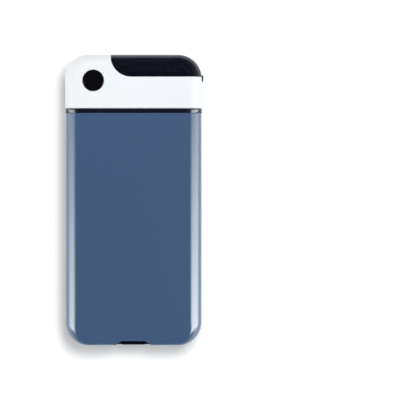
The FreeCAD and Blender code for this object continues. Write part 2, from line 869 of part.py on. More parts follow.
def is_long_bottom_edge(edge):
    """The tray's two long bottom edges."""
    limits = edge.BoundBox
    return limits.YLength > tray_half and limits.ZMax < floor_z + edge_break


def is_inner_edge(edge):
    """Edges inside the tray, except those of its mouth."""
    return edge.BoundBox.ZMin < tray_top


# ---------------------------------------------------------------------- lock

def lid_screw_spots():
    """The lid's screws: in the corner post, in the guide and in the strike."""
    chamber_low_y = lock_foot_y + lock_wall
    corner = (lock_left + lock_wall + lid_post / 2, chamber_low_y + lid_post / 2)
    in_guide = ((block_left + nose_tip_x) / 2, (chamber_low_y + nose_low_y) / 2)
    in_strike = ((strike_left + strike_right) / 2, (nose_high_y + rack_back_y) / 2)
    return [corner, in_guide, in_strike]


def lock_carrier():
    """Housing of the motor and the bolt."""
    x_span = (lock_left, lock_right)
    y_span = (lock_foot_y, lock_head_y)
    block = box(x_span, y_span, (floor_z, lock_top))
    pieces = [rounded_edges(block, tray_edge_round, is_foot_bottom_edge)]
    for at, edge_x in ((lock_lug_left, lock_left), (lock_lug_right, lock_right)):
        lug_x = (min(at[0] - lug_size / 2, edge_x), max(at[0] + lug_size / 2, edge_x))
        lug_y = (at[1] - lug_size / 2, at[1] + lug_size / 2)
        pieces.append(box(lug_x, lug_y, (lock_boss_height, lock_boss_height + lock_lug_height)))
    body = joined(pieces)

    chamber_y = (lock_foot_y + lock_wall, rack_back_y + guide_gap)
    chamber = box((lock_left + lock_wall, lock_right - lock_wall), chamber_y, (shelf_height, case_depth))
    guide = box((block_left + guide_gap, nose_tip_x - guide_gap),
                (chamber_y[0], nose_low_y - guide_gap), (shelf_height, lock_top))
    strike = box((strike_left, strike_right), chamber_y, (shelf_height, lock_top))
    post = box((lock_left, lock_left + lock_wall + lid_post),
               (lock_foot_y, chamber_y[0] + lid_post), (shelf_height, lock_top))
    socket = box((strike_left - guide_gap, nose_tip_x + bolt_travel + guide_gap * 2),
                 (nose_low_y - guide_gap, nose_high_y + guide_gap),
                 (shelf_height, bolt_high + guide_gap))
    chamber = without(chamber, [guide, strike, post]).fuse(socket)
    cuts = [chamber, keeper_pocket(shelf_height)]
    cuts.append(upright(motor_at, motor_radius + running_clearance, (motor_low, shelf_height)))
    hollow_low = box((block_left + lock_wall * 2, lock_right - lock_wall),
                     (lock_foot_y + lock_wall, lock_head_y - lock_wall),
                     (0.0, keeper_low - lock_wall * 2))
    cuts.append(hollow_low)
    margin = lead_radius + lead_room
    cuts.append(box((lock_left - lock_wall, motor_at[0]), (motor_lead_y - margin, motor_lead_y + margin),
                    (motor_lead_low - margin, motor_lead_low + lead_step + margin)))
    for at in (lock_lug_left, lock_lug_right):
        cuts.append(upright(at, lock_screw_radius, (0.0, lock_top)))
    for at in lid_screw_spots():
        cuts.append(upright(at, small_screw_radius, (lock_top - lid_screw_bite, lock_top)))
    return without(body, cuts)


def is_foot_bottom_edge(edge):
    """The lock housing's bottom edge at the foot."""
    limits = edge.BoundBox
    return limits.ZMax < floor_z + edge_break and limits.YMax < lock_foot_y + edge_break


def keeper_pocket(top):
    """Room for the blade of the steel eye, up to `top`."""
    blade_low_y = keeper_y - keeper_width / 2
    blade_high_y = keeper_y + keeper_width / 2
    half = keeper_thickness / 2 + slot_side
    return box((-half, half), (blade_low_y - slot_foot, blade_high_y + slot_head),
               (keeper_low - slot_side, top))


def lock_lid():
    """Lid of the lock, with the slot that the steel eye enters."""
    plate = box((lock_left, lock_right), (lock_foot_y, lock_head_y), (lock_top, lid_top))
    hold_down = box((rack_left + lock_wall, block_left), (rack_root_y + guide_gap, rack_back_y - guide_gap),
                    (bolt_high + guide_gap, lock_top))
    cuts = [keeper_pocket(case_depth)]
    cuts.append(upright(motor_at, shaft_radius + guide_gap, (lock_top, shaft_high + guide_gap)))
    for at in lid_screw_spots():
        cuts.append(upright(at, small_screw_radius, (lock_top, lid_top)))
        cuts.append(upright(at, small_head_radius + lid_head_sink, (lid_screw_seat(), lid_top)))
    return without(joined([plate, hold_down]), cuts)


def lid_screw_seat():
    """Height under the heads of the lid's sunk screws."""
    return lid_top - lid_head_sink - small_head_height


def lock_motor():
    """Small gearmotor that stands on its end, without its shaft."""
    can = upright(motor_at, motor_radius, (motor_low, motor_high))
    nose = upright(motor_at, motor_radius / 2, (motor_high, motor_high + motor_nose_height))
    bore = upright(motor_at, shaft_radius + running_clearance, (shaft_low - edge_break, shelf_height))
    return joined([can, nose]).cut(bore)


def motor_shaft():
    """Shaft of the gearmotor."""
    return upright(motor_at, shaft_radius, (shaft_low, shaft_high))


def drive_pinion():
    """Pinion with involute flanks. One tooth points at the rack."""
    base_radius = pitch_radius * math.cos(pressure_angle)
    tip_radius = pitch_radius + tooth_addendum
    root_radius = pitch_radius - tooth_dedendum
    at_pitch = (tooth_pitch / 4 - backlash) / pitch_radius

    def involute(angle):
        return math.tan(angle) - angle

    def half_angle(radius):
        local = math.acos(min(1.0, base_radius / radius))
        return at_pitch + involute(pressure_angle) - involute(local)

    def polar(radius, angle):
        return (motor_at[0] + radius * math.cos(angle), motor_at[1] + radius * math.sin(angle))

    flank_steps = 5
    radii = [base_radius + (tip_radius - base_radius) * step / flank_steps
             for step in range(flank_steps + 1)]
    outline = []
    for tooth in range(pinion_teeth):
        centre = math.pi / 2 + 2 * math.pi * tooth / pinion_teeth
        outline.append(polar(root_radius, centre - half_angle(base_radius)))
        outline += [polar(radius, centre - half_angle(radius)) for radius in radii]
        outline += [polar(radius, centre + half_angle(radius)) for radius in reversed(radii)]
        outline.append(polar(root_radius, centre + half_angle(base_radius)))
    low = (bolt_low + bolt_high - pinion_height) / 2
    gear = prism(outline, (low, low + pinion_height))
    return gear.cut(upright(motor_at, shaft_radius, (low, low + pinion_height)))


def lock_bolt():
    """Bolt and rack in one. It slides along +X through the steel eye."""
    z_span = (bolt_low, bolt_high)
    bar = box((rack_left, block_left), (rack_root_y, rack_back_y), z_span)
    block = box((block_left, block_right), (nose_low_y, rack_back_y), z_span)
    nose = box((block_right, nose_tip_x), (nose_low_y, nose_high_y), z_span)
    nose = rounded_edges(nose, smallest_round, is_nose_tip_edge)
    pieces = [bar, block, nose]
    tip_y = rack_pitch_y - tooth_addendum
    at_root = tooth_pitch / 4 - backlash + tooth_dedendum * math.tan(pressure_angle)
    at_tip = tooth_pitch / 4 - backlash - tooth_addendum * math.tan(pressure_angle)
    first = math.ceil((rack_left + at_root - motor_at[0]) / tooth_pitch - 0.5)
    last = math.floor((block_left - at_root - motor_at[0]) / tooth_pitch - 0.5)
    for number in range(first, last + 1):
        x = motor_at[0] + (number + 0.5) * tooth_pitch
        points = [(x - at_root, rack_root_y), (x - at_tip, tip_y), (x + at_tip, tip_y),
                  (x + at_root, rack_root_y)]
        pieces.append(prism(points, z_span))
    return joined(pieces)


def is_nose_tip_edge(edge):
    """Upright edges at the bolt's tip."""
    limits = edge.BoundBox
    return limits.XMin > nose_tip_x - edge_break and limits.ZLength > bolt_height / 2


def lock_screws():
    """The screws of the housing and of its lid."""
    seat = lock_boss_height + lock_lug_height
    screws = [screw(at, lock_screw_radius, (floor_z, seat), lock_head_radius, lock_head_height, True)
              for at in (lock_lug_left, lock_lug_right)]
    for at in lid_screw_spots():
        screws.append(screw(at, small_screw_radius, (lock_top - lid_screw_bite, lid_screw_seat()),
                            small_head_radius, small_head_height, True))
    return screws


# ----------------------------------------------------------------- electronics

def board(height, low_y, holes):
    """Circuit board that keeps clear of the casing's inside."""
    sheet = plan_outline(shell_wall + board_gap, height).extrude(Vector(0, 0, board_thickness))
    sheet = sheet.common(slab((low_y, case_length)))
    return without(sheet, [upright(at, radius, (height - board_thickness, case_depth))
                           for at, radius in holes])


def main_board():
    """Lower board: charger, processor and motor driver."""
    holes = [(at, boss_radius + hole_gap) for at in corner_screws]
    holes += [(at, board_screw_radius) for at in standoffs]
    return board(main_board_height, main_board_low_y, holes)


def display_board():
    """Upper board: display and switches."""
    holes = [(at, cap_boss_radius + hole_gap) for at in corner_screws]
    holes += [(at, board_screw_radius) for at in display_posts]
    return board(display_board_height, display_board_low_y, holes)


def board_screws():
    """Screws of the lower board, from above."""
    span = (main_board_height - board_screw_bite, main_board_top)
    return [screw(at, board_screw_radius, span, board_head_radius, board_head_height, True)
            for at in standoffs]


def display_screws():
    """Screws of the upper board, from below."""
    span = (display_board_height, display_board_top + board_screw_bite)
    return [screw(at, board_screw_radius, span, board_head_radius, board_head_height, False)
            for at in display_posts]


def board_chips():
    """Chips and other parts on the lower board."""
    blocks = []
    for x, from_end, length, width, height in chips:
        y = half_length - from_end
        blocks.append(box((x - length / 2, x + length / 2), (y - width / 2, y + width / 2),
                          (main_board_top, main_board_top + height)))
    return blocks


def board_header():
    """Plug block that joins the two boards."""
    return box(header_x, (header_low_y, header_low_y + header_width),
               (main_board_top, display_board_height))


def display_frame():
    """Frame that holds the display panel on the upper board."""
    low = display_board_top
    grow = panel_gap + frame_wall
    outer = box((panel_x[0] - grow, panel_x[1] + grow), (panel_y[0] - grow, panel_y[1] + grow),
                (low, low + frame_height))
    pocket = box((panel_x[0] - panel_gap, panel_x[1] + panel_gap),
                 (panel_y[0] - panel_gap, panel_y[1] + panel_gap),
                 (low + frame_floor, low + frame_height + frame_floor))
    return outer.cut(pocket)


def display_panel():
    """Glass of the display."""
    low = display_board_top + frame_floor
    return box(panel_x, panel_y, (low, low + panel_thickness))


def main_switch():
    """Push switch under the round button."""
    half = switch_size / 2
    case = box((button_at[0] - half, button_at[0] + half), (button_at[1] - half, button_at[1] + half),
               (display_board_top, switch_top))
    bottom = plunger_top - plunger_length - button_travel - plunger_gap
    return case.cut(upright(button_at, plunger_radius + plunger_gap, (bottom, switch_top)))


def main_plunger():
    """Plunger of the push switch."""
    return upright(button_at, plunger_radius, (plunger_top - plunger_length, plunger_top))


def main_button():
    """Round button, flush with the head."""
    flange_span = (cap_under - button_flange_height, cap_under)
    face = upright(button_at, button_radius, (cap_under - button_flange_height, case_depth))
    face = rounded_edges(face, button_edge, is_button_rim)
    flange = upright(button_at, button_radius + button_flange, flange_span)
    stem = upright(button_at, button_stem, (plunger_top, flange_span[0]))
    return joined([face, flange, stem])


def is_button_rim(edge):
    """Rim of the round button's face."""
    return edge.BoundBox.ZMin > case_depth - edge_break


def side_switch():
    """Push switch that hangs under the upper board, behind the side button."""
    front = side_plunger_tip() - side_plunger_length / 2
    half = side_switch_width / 2
    case = box((front - side_switch_length, front), (side_button_y - half, side_button_y + half),
               (side_button_z - half, display_board_height))
    bottom = side_plunger_tip() - side_plunger_length - side_button_travel - plunger_gap
    return case.cut(across(side_button_y, side_button_z, side_plunger_radius + plunger_gap,
                           (bottom, front)))


def side_plunger_tip():
    """Where the side switch's plunger meets the side button."""
    return inner_x - side_flange_setback - side_flange_thickness - side_stem


def side_plunger():
    """Plunger of the side switch."""
    tip = side_plunger_tip()
    return across(side_button_y, side_button_z, side_plunger_radius, (tip - side_plunger_length, tip))


def side_button():
    """Small button on the right edge."""
    flange_x = (side_plunger_tip() + side_stem, inner_x - side_flange_setback)
    y, z = side_button_y, side_button_z
    shaft = across(y, z, side_button_radius, (flange_x[0], half_width + side_button_proud))
    shaft = rounded_edges(shaft, smallest_round, is_side_button_rim)
    flange = across(y, z, side_button_radius + side_flange, flange_x)
    stem = across(y, z, side_plunger_radius, (side_plunger_tip(), flange_x[0]))
    return joined([shaft, flange, stem])


def is_side_button_rim(edge):
    """Rim of the side button's face."""
    return edge.BoundBox.XMin > half_width


def hall_sensor():
    """Sensor that sees the cover's magnet."""
    (x, y), (length, width, height) = sensor_at, sensor_size
    return box((x - length / 2, x + length / 2), (y - width / 2, y + width / 2),
               (display_board_top, display_board_top + height))


def cover_magnet():
    """Magnet on the liner, next to the sensor when the cover is shut."""
    return upright(magnet_at, magnet_radius, (liner_under - magnet_height, liner_under))


def buzzer():
    """Round buzzer on the lower board."""
    return upright(buzzer_at, buzzer_radius, (main_board_top, main_board_top + buzzer_height))


def battery():
    """Flat battery on a pad."""
    cell = box(battery_x, battery_y, (battery_low, battery_high))
    return rounded_edges(cell, battery_edge, is_battery_long_edge)


def is_battery_long_edge(edge):
    """Long edges of the battery."""
    return edge.BoundBox.XLength > (battery_x[1] - battery_x[0]) / 2


def battery_pad():
    """Foam pad under the battery."""
    x_span = (battery_x[0] + battery_edge, battery_x[1] - battery_edge)
    y_span = (battery_y[0] + battery_edge, battery_y[1] - battery_edge)
    return box(x_span, y_span, (floor_z, battery_low))


def usb_socket():
    """Charging socket under the lower board, behind the opening in the top end."""
    y_span = (half_length - usb_setback - usb_length, half_length - usb_setback)
    hollow = usb_outline(-usb_wall, (y_span[0] + usb_wall * 2, half_length))
    middle = main_board_height - usb_height / 2
    reach = (usb_width - usb_height) / 2
    tongue = box((-reach, reach), (y_span[0] + usb_wall, y_span[1] - usb_wall * 4),
                 (middle - usb_tongue / 2, middle + usb_tongue / 2))
    return joined([usb_outline(0.0, y_span).cut(hollow), tongue])


def lead_sockets():
    """Plug sockets under the lower board, for the motor and for the battery."""
    length, width, height = socket_size
    z_span = (main_board_height - height, main_board_height)
    motor = box((motor_socket_x, motor_socket_x + length),
                (motor_socket_y - width / 2, motor_socket_y + width / 2), z_span)
    middle_y = battery_lead_y + battery_lead_step / 2
    power = box((battery_socket_x, battery_socket_x + length),
                (middle_y - width / 2, middle_y + width / 2), z_span)
    return [motor, power]


def motor_leads():
    """Two leads from the lock's motor, along the groove, to the lower board."""
    motor_side = motor_at[0] - math.sqrt(motor_radius ** 2 - lead_offset ** 2) - lead_radius / 2
    beside_lug = (lock_left - lug_size - inner_x) / 2
    leads = []
    for lift in (0.0, lead_step):
        leads.append(lead([
            (motor_side, motor_lead_y, motor_lead_low + lift),
            (lock_left - lug_size, motor_lead_y, motor_lead_low + lift),
            (beside_lug, tray_foot_y - lug_size, lead_height - lead_step + lift),
            (lead_x, lock_head_y, lead_height + lift),
            (lead_x, motor_socket_y - lead_bend * 2, lead_height + lift),
            (motor_socket_x - motor_socket_run, motor_socket_y, lead_height + lift),
            (motor_socket_x, motor_socket_y, lead_height + lift),
        ]))
    return leads


def battery_leads():
    """Two leads from the battery up to the lower board."""
    middle_x = (battery_x[1] + battery_socket_x) / 2
    leads = []
    for y in (battery_lead_y, battery_lead_y + battery_lead_step):
        leads.append(lead([
            (battery_x[1], y, battery_lead_low),
            (middle_x, y, battery_lead_low),
            (middle_x, y, lead_height),
            (battery_socket_x, y, lead_height),
        ]))
    return leads


def shell_screws():
    """Screws from the back into the head cap."""
    span = (screw_seat, parting_height + screw_bite)
    return [screw(at, screw_radius, span, screw_head_radius, screw_head_height, False)
            for at in corner_screws]


# --------------------------------------------------------------------- output

os.makedirs("parts", exist_ok=True)
save("rear_shell", [rear_shell()])
save("head_cap", [head_cap()])
save("display_window", [display_window()])
save("front_cover", [front_cover()])
save("cover_liner", [cover_liner()])
save("liner_screws", cover_screws(liner_screw_spots(), liner_under))
save("latch_keeper", [latch_keeper()])
save("keeper_screws", cover_screws(keeper_screw_spots(), liner_under - keeper_plate))
save("cover_magnet", [cover_magnet()])
save("hinge_pin", [hinge_pin()])
save("inner_tray", [inner_tray()])
save("lock_carrier", [lock_carrier()])
save("lock_lid", [lock_lid()])
save("lock_screws", lock_screws())
save("lock_motor", [lock_motor()])
save("motor_shaft", [motor_shaft()])
save("drive_pinion", [drive_pinion()])
save("lock_bolt", [lock_bolt()])
save("motor_leads", motor_leads())
save("main_board", [main_board()])
save("board_screws", board_screws())
save("board_chips", board_chips())
save("board_header", [board_header()])
save("display_board", [display_board()])
save("display_screws", display_screws())
save("display_frame", [display_frame()])
save("display_panel", [display_panel()])
save("main_button", [main_button()])
save("main_plunger", [main_plunger()])
save("main_switch", [main_switch()])
save("side_button", [side_button()])
save("side_plunger", [side_plunger()])
save("side_switch", [side_switch()])
save("hall_sensor", [hall_sensor()])
save("buzzer", [buzzer()])
save("battery", [battery()])
save("battery_pad", [battery_pad()])
save("battery_leads", battery_leads())
save("lead_sockets", lead_sockets())
save("usb_socket", [usb_socket()])
save("shell_screws", shell_screws())
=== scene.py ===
# %% [markdown]
# # A timed lock container
#
# This lesson dresses a small lock box in Blender. Its solids come from a CAD
# model, already in place and in metres. They keep their shapes, and each one
# gets a finish. What CAD leaves plain is made here: the recesses and threads of
# the screws, the dots of the display, the legs of the chips and the foam pad.
# The screws and the pad take the place of their plain solids.

# %% Load the solids
import math

import bmesh
import bpy
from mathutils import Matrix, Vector


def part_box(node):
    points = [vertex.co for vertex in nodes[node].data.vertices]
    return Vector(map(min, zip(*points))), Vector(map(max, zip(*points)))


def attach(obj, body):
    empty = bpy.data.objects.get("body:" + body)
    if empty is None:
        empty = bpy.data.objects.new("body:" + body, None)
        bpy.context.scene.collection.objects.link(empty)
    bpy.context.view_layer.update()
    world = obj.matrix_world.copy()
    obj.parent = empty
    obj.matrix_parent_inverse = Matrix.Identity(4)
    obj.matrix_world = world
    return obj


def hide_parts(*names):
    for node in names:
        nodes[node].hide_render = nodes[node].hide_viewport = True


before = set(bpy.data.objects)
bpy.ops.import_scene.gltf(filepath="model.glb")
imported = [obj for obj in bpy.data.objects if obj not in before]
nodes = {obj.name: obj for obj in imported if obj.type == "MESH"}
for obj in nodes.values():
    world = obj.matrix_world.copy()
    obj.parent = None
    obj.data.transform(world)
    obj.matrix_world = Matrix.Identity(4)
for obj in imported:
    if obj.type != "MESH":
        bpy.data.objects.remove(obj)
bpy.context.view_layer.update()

scene = bpy.context.scene
MM = 0.001

# %% [markdown]
# ## Small helpers
#
# Colours are written as sRGB hex values, the way a paint chart or a picker gives
# them. Shaders want linear light, so one function turns one into the other.
# Another adds a node to any tree, sets its properties, and sets or links its
# inputs. With it, a tree reads as a list.
#
# The Mix node has many sockets with the same names, so they go by number. Its
# share is 0. Numbers are mixed from 2 to 3 and come out of 0. Colours are mixed
# from 6 to 7 and come out of 2.


# %% Colours and nodes
def linear(code):
    """sRGB hex colour as linear RGBA."""
    channels = []
    for start in (1, 3, 5):
        value = int(code[start:start + 2], 16) / 255
        channels.append(value / 12.92 if value <= 0.04045 else ((value + 0.055) / 1.055) ** 2.4)
    return (*channels, 1.0)


def add(tree, kind, settings=None, inputs=None):
    """Add a node. An input's value may be a number, a tuple or another node's output."""
    made = tree.nodes.new(kind)
    for name, value in (settings or {}).items():
        setattr(made, name, value)
    for name, value in (inputs or {}).items():
        if isinstance(value, bpy.types.NodeSocket):
            tree.links.new(value, made.inputs[name])
        else:
            made.inputs[name].default_value = value
    return made


# Settings that come back again and again.
TIMES = {"operation": "MULTIPLY"}
MINUS = {"operation": "SUBTRACT"}
OVER = {"operation": "GREATER_THAN"}
COLOURS = {"data_type": "RGBA"}
NUMBERS = {"data_type": "FLOAT"}
SMOOTH = {"interpolation_type": "SMOOTHSTEP"}
FACES = {"mode": "FACES"}
EACH_FACE = {"domain": "FACE"}
print("the middle grey #808080 is", round(linear("#808080")[0], 3), "in linear light")

# %% [markdown]
# ## The camera
#
# The camera hangs over the scene and looks straight down at the front of the
# box, which lies on its back. The box sits left of the middle, as it does on a
# product page that keeps room for words on the right. A long lens from a metre
# and a half away hides the sides, so the box shows its true outline.

# %% Camera
VIEW_WIDTH = 186.75 * MM
VIEW_DISTANCE = 1500 * MM
VIEW_CENTRE = Vector((31.18, -0.05, 28.0)) * MM

camera_data = bpy.data.cameras.new("camera")
camera_data.sensor_fit = "HORIZONTAL"
camera_data.angle = 2 * math.atan(VIEW_WIDTH / 2 / VIEW_DISTANCE)
camera = bpy.data.objects.new("camera", camera_data)
camera.location = VIEW_CENTRE + Vector((0, 0, VIEW_DISTANCE))
scene.collection.objects.link(camera)
scene.camera = camera
print("camera at", [round(value, 4) for value in camera.location])

# %% [markdown]
# ## The floor
#
# A white sweep, as in a product studio. It is a plain matt white that catches
# the box's shadow. For rays that come straight from the camera, or by way of a
# mirror or glass, a little light is added to it, so that it shows as white
# paper without more light on the box.

# %% Floor
FLOOR_HALF = 2.0
FLOOR_DROP = 0.02 * MM  # a hair below the back, so that the two don't flicker
FLOOR_LIFT = 0.36       # the light that is added for those rays

floor_mesh = bpy.data.meshes.new("floor")
corners = [(x * FLOOR_HALF, y * FLOOR_HALF, 0.0) for x, y in ((-1, -1), (1, -1), (1, 1), (-1, 1))]
floor_mesh.from_pydata(corners, [], [(0, 1, 2, 3)])
floor = bpy.data.objects.new("floor", floor_mesh)
floor.location.z = -FLOOR_DROP
scene.collection.objects.link(floor)

paper = bpy.data.materials.new("white_paper_sweep")
paper.use_nodes = True
tree = paper.node_tree
tree.nodes.clear()
rays = add(tree, "ShaderNodeLightPath")
seen = rays.outputs["Is Camera Ray"]
for kind in ("Is Glossy Ray", "Is Transmission Ray"):
    seen = add(tree, "ShaderNodeMath", {"operation": "MAXIMUM"},
               {0: seen, 1: rays.outputs[kind]}).outputs[0]
lift = add(tree, "ShaderNodeMath", TIMES, {0: seen, 1: FLOOR_LIFT})
matt = add(tree, "ShaderNodeBsdfDiffuse", None, {"Color": linear("#dfdfdf")})
glow = add(tree, "ShaderNodeEmission", None, {"Strength": lift.outputs[0]})
both = add(tree, "ShaderNodeAddShader", None, {0: matt.outputs[0], 1: glow.outputs[0]})
add(tree, "ShaderNodeOutputMaterial", None, {"Surface": both.outputs[0]})
floor_mesh.materials.append(paper)
print(paper.name, "is", 2 * FLOOR_HALF, "m wide")

# %% [markdown]
# ## The light
#
# Two broad softboxes stand left and right of the box and draw a bright band
# along each rounded side. Each is brighter towards the foot, as a softbox is
# whose lamp hangs low. Both fade in at the edge that is nearest overhead, the
# right one slowly, so the bands have soft inner edges, and both weaken towards
# the floor. The flat front mirrors the ceiling straight above, which is dark, so
# its colour shows deep and even. A fill from the head side lifts the white. It
# isn't seen in reflections or through glass, so the window stays dark.

# %% Softboxes
BOX_LENGTH = 0.30    # along the lock box
BOX_DISTANCE = 0.60  # from the line that the softbox is swung about
LINE_ASIDE = 0.03    # that line: near the lock box's side
LINE_HEIGHT = 0.02
HEAD_FADE = 1.6      # power of the fade towards the head


def softbox(name, side, angle, half_angle, strength, inner, outer):
    """Area light, `angle` degrees from straight up on one side, -1 for left or 1 for right.

    Across its width it rises from nothing between the two places of `inner`. From the
    first number of `outer` on, it falls to a share of its level, which is the second.
    """
    lamp_data = bpy.data.lights.new(name, "AREA")
    lamp_data.shape = "RECTANGLE"
    lamp_data.size = 2 * BOX_DISTANCE * math.tan(math.radians(half_angle))
    lamp_data.size_y = BOX_LENGTH
    lamp_data.energy = strength
    lamp_data.use_nodes = True
    tree = lamp_data.node_tree
    tree.nodes.clear()
    spot = add(tree, "ShaderNodeNewGeometry")
    split = add(tree, "ShaderNodeSeparateXYZ", None, {0: spot.outputs["Parametric"]})
    length = add(tree, "ShaderNodeMapRange", None,
                 {"Value": split.outputs["Y"], "To Min": 1.0, "To Max": 0.0})
    length = add(tree, "ShaderNodeMath", {"operation": "POWER"},
                 {0: length.outputs[0], 1: HEAD_FADE})
    across = add(tree, "ShaderNodeMapRange", None,
                 {"Value": split.outputs["X"],
                  "To Min": (1 - side) / 2, "To Max": (1 + side) / 2})
    rise = add(tree, "ShaderNodeMapRange", SMOOTH,
               {"Value": across.outputs[0], "From Min": inner[0], "From Max": inner[1]})
    fall = add(tree, "ShaderNodeMapRange", SMOOTH,
               {"Value": across.outputs[0], "From Min": outer[0], "From Max": 1.0,
                "To Min": 1.0, "To Max": outer[1]})
    width = add(tree, "ShaderNodeMath", TIMES, {0: rise.outputs[0], 1: fall.outputs[0]})
    level = add(tree, "ShaderNodeMath", TIMES, {0: length.outputs[0], 1: width.outputs[0]})
    shine = add(tree, "ShaderNodeEmission", None, {"Strength": level.outputs[0]})
    add(tree, "ShaderNodeOutputLight", None, {0: shine.outputs[0]})
    tilt = math.radians(angle)
    lamp = bpy.data.objects.new(name, lamp_data)
    lamp.location = (side * (LINE_ASIDE + BOX_DISTANCE * math.sin(tilt)), 0.0,
                     LINE_HEIGHT + BOX_DISTANCE * math.cos(tilt))
    lamp.rotation_euler = (0.0, side * tilt, 0.0)
    lamp.visible_transmission = False
    scene.collection.objects.link(lamp)
    print(name, "at", [round(value, 3) for value in lamp.location])
    return lamp


left_box = softbox("softbox_left", -1, 50.25, 34.75, 5.3, (-0.25, 0.4), (0.4, 0.3))
right_box = softbox("softbox_right", 1, 46.75, 43.25, 8.2, (0.0, 0.29), (0.5, 0.42))

# %% Fill and key
LAMP_SIZE = 0.30


def lamp_at(name, place, strength):
    """Even square light that points at the box and isn't mirrored in it."""
    lamp_data = bpy.data.lights.new(name, "AREA")
    lamp_data.size = LAMP_SIZE
    lamp_data.energy = strength
    lamp = bpy.data.objects.new(name, lamp_data)
    lamp.location = place
    lamp.rotation_euler = (-Vector(place)).to_track_quat("-Z", "Y").to_euler()
    lamp.visible_glossy = False
    lamp.visible_transmission = False
    scene.collection.objects.link(lamp)
    print(name, "at", place)
    return lamp


fill = lamp_at("fill", (-0.1, 0.5, 0.5), 2.2)
key = lamp_at("key", (0.15, 0.20, 1.2), 12.0)

# %% [markdown]
# The key throws the soft shadow to the lower left and lights only the floor, so
# the floor can be white while the box keeps its plain level of light.

# %% What each lamp lights
box_only = bpy.data.collections.new("lit_by_softboxes")
floor_only = bpy.data.collections.new("lit_by_key")
floor_only.objects.link(floor)
for piece in nodes.values():
    box_only.objects.link(piece)
for lamp in (left_box, right_box, fill):
    lamp.light_linking.receiver_collection = box_only
key.light_linking.receiver_collection = floor_only

# %% [markdown]
# The room itself is a dim tent: dark overhead, where the camera is, and pale
# towards the horizon, with a touch of blue. It is darkest on the head side, and
# a little darker on the foot side than left and right. The camera sees it as
# plain white.

# %% Room
TENT_TINT = (0.88, 0.96, 1.0)
TENT_LEVELS = ((0.20, 0.95), (0.45, 0.50), (0.70, 0.18), (0.90, 0.04))
CEILING = (0.97, (0.01, 0.01, 0.015, 1.0))

world = bpy.data.worlds.new("tent")
scene.world = world
world.use_nodes = True
tree = world.node_tree
tree.nodes.clear()
way = add(tree, "ShaderNodeTexCoord")
split = add(tree, "ShaderNodeSeparateXYZ", None, {0: way.outputs["Generated"]})
ramp = add(tree, "ShaderNodeValToRGB", None, {"Fac": split.outputs["Z"]})
stops = ramp.color_ramp.elements
stops[0].position, stops[0].color = 0.0, (*TENT_TINT, 1.0)
stops[1].position, stops[1].color = CEILING
for position, level in TENT_LEVELS:
    stops.new(position).color = (*(level * part for part in TENT_TINT), 1.0)
sides = add(tree, "ShaderNodeMapRange", None,
            {"Value": split.outputs["X"], "From Min": -1.0, "From Max": 1.0,
             "To Min": 1.6, "To Max": 2.3})
head_end = add(tree, "ShaderNodeMapRange", None,
               {"Value": split.outputs["Y"], "From Min": -0.2, "From Max": 0.6,
                "To Min": 1.0, "To Max": 0.06})
foot_end = add(tree, "ShaderNodeMapRange", None,
               {"Value": split.outputs["Y"], "From Min": -0.9, "From Max": -0.2,
                "To Min": 0.45, "To Max": 1.0})
ends = add(tree, "ShaderNodeMath", TIMES, {0: head_end.outputs[0], 1: foot_end.outputs[0]})
level = add(tree, "ShaderNodeMath", TIMES, {0: sides.outputs[0], 1: ends.outputs[0]})
rays = add(tree, "ShaderNodeLightPath")
strength = add(tree, "ShaderNodeMix", NUMBERS,
               {0: rays.outputs["Is Camera Ray"], 2: level.outputs[0], 3: 1.0})
tint = add(tree, "ShaderNodeMix", COLOURS,
           {0: rays.outputs["Is Camera Ray"], 6: ramp.outputs[0], 7: (1.0, 1.0, 1.0, 1.0)})
sky = add(tree, "ShaderNodeBackground", None,
          {"Color": tint.outputs[2], "Strength": strength.outputs[0]})
add(tree, "ShaderNodeOutputWorld", None, {0: sky.outputs[0]})
print(world.name, "goes from pale to dark in", len(stops), "steps")

scene.view_settings.view_transform = "Standard"

# %% [markdown]
# ## Finishes: moulded plastic
#
# Most of the box is ABS, moulded in steel tools. Where the tool was
# spark-eroded, the plastic has a fine grain; where it was stoned smooth, the
# plastic shines. Both come from one function: a noise for the grain, a slower
# noise that shifts the colour and the gloss a little, as real mouldings have,
# and the usual values for ABS.


# %% Moulded plastic
def shader(name):
    """New material with its tree, its Principled shader and its Object coordinates."""
    finish = bpy.data.materials.new(name)
    finish.use_nodes = True
    tree = finish.node_tree
    tree.nodes.clear()
    surface = add(tree, "ShaderNodeBsdfPrincipled")
    add(tree, "ShaderNodeOutputMaterial", None, {"Surface": surface.outputs[0]})
    place = add(tree, "ShaderNodeTexCoord").outputs["Object"]
    return finish, tree, surface, place


def moulded(name, dark, light, roughness, grain, depth, ior=1.53):
    """Moulded plastic: two near colours, gloss, and a grain of a given size and depth."""
    finish, tree, surface, place = shader(name)
    slow = add(tree, "ShaderNodeTexNoise", None,
               {"Vector": place, "Scale": 1 / (18 * MM), "Detail": 2.0})
    tone = add(tree, "ShaderNodeMix", COLOURS,
               {0: slow.outputs["Fac"], 6: linear(dark), 7: linear(light)})
    tree.links.new(tone.outputs[2], surface.inputs["Base Color"])
    fine = add(tree, "ShaderNodeTexNoise", None,
               {"Vector": place, "Scale": 1 / grain, "Detail": 3.0, "Roughness": 0.6})
    gloss = add(tree, "ShaderNodeMapRange", None,
                {"Value": slow.outputs["Fac"],
                 "To Min": roughness * 0.85, "To Max": roughness * 1.15})
    tree.links.new(gloss.outputs[0], surface.inputs["Roughness"])
    bump = add(tree, "ShaderNodeBump", None,
               {"Height": fine.outputs["Fac"], "Distance": depth, "Strength": 1.0})
    tree.links.new(bump.outputs[0], surface.inputs["Normal"])
    surface.inputs["IOR"].default_value = ior
    return finish


def dress(finish, *names):
    """Give a finish to CAD solids."""
    for name in names:
        nodes[name].material_slots[0].material = finish
    print(finish.name, "on", ", ".join(names))


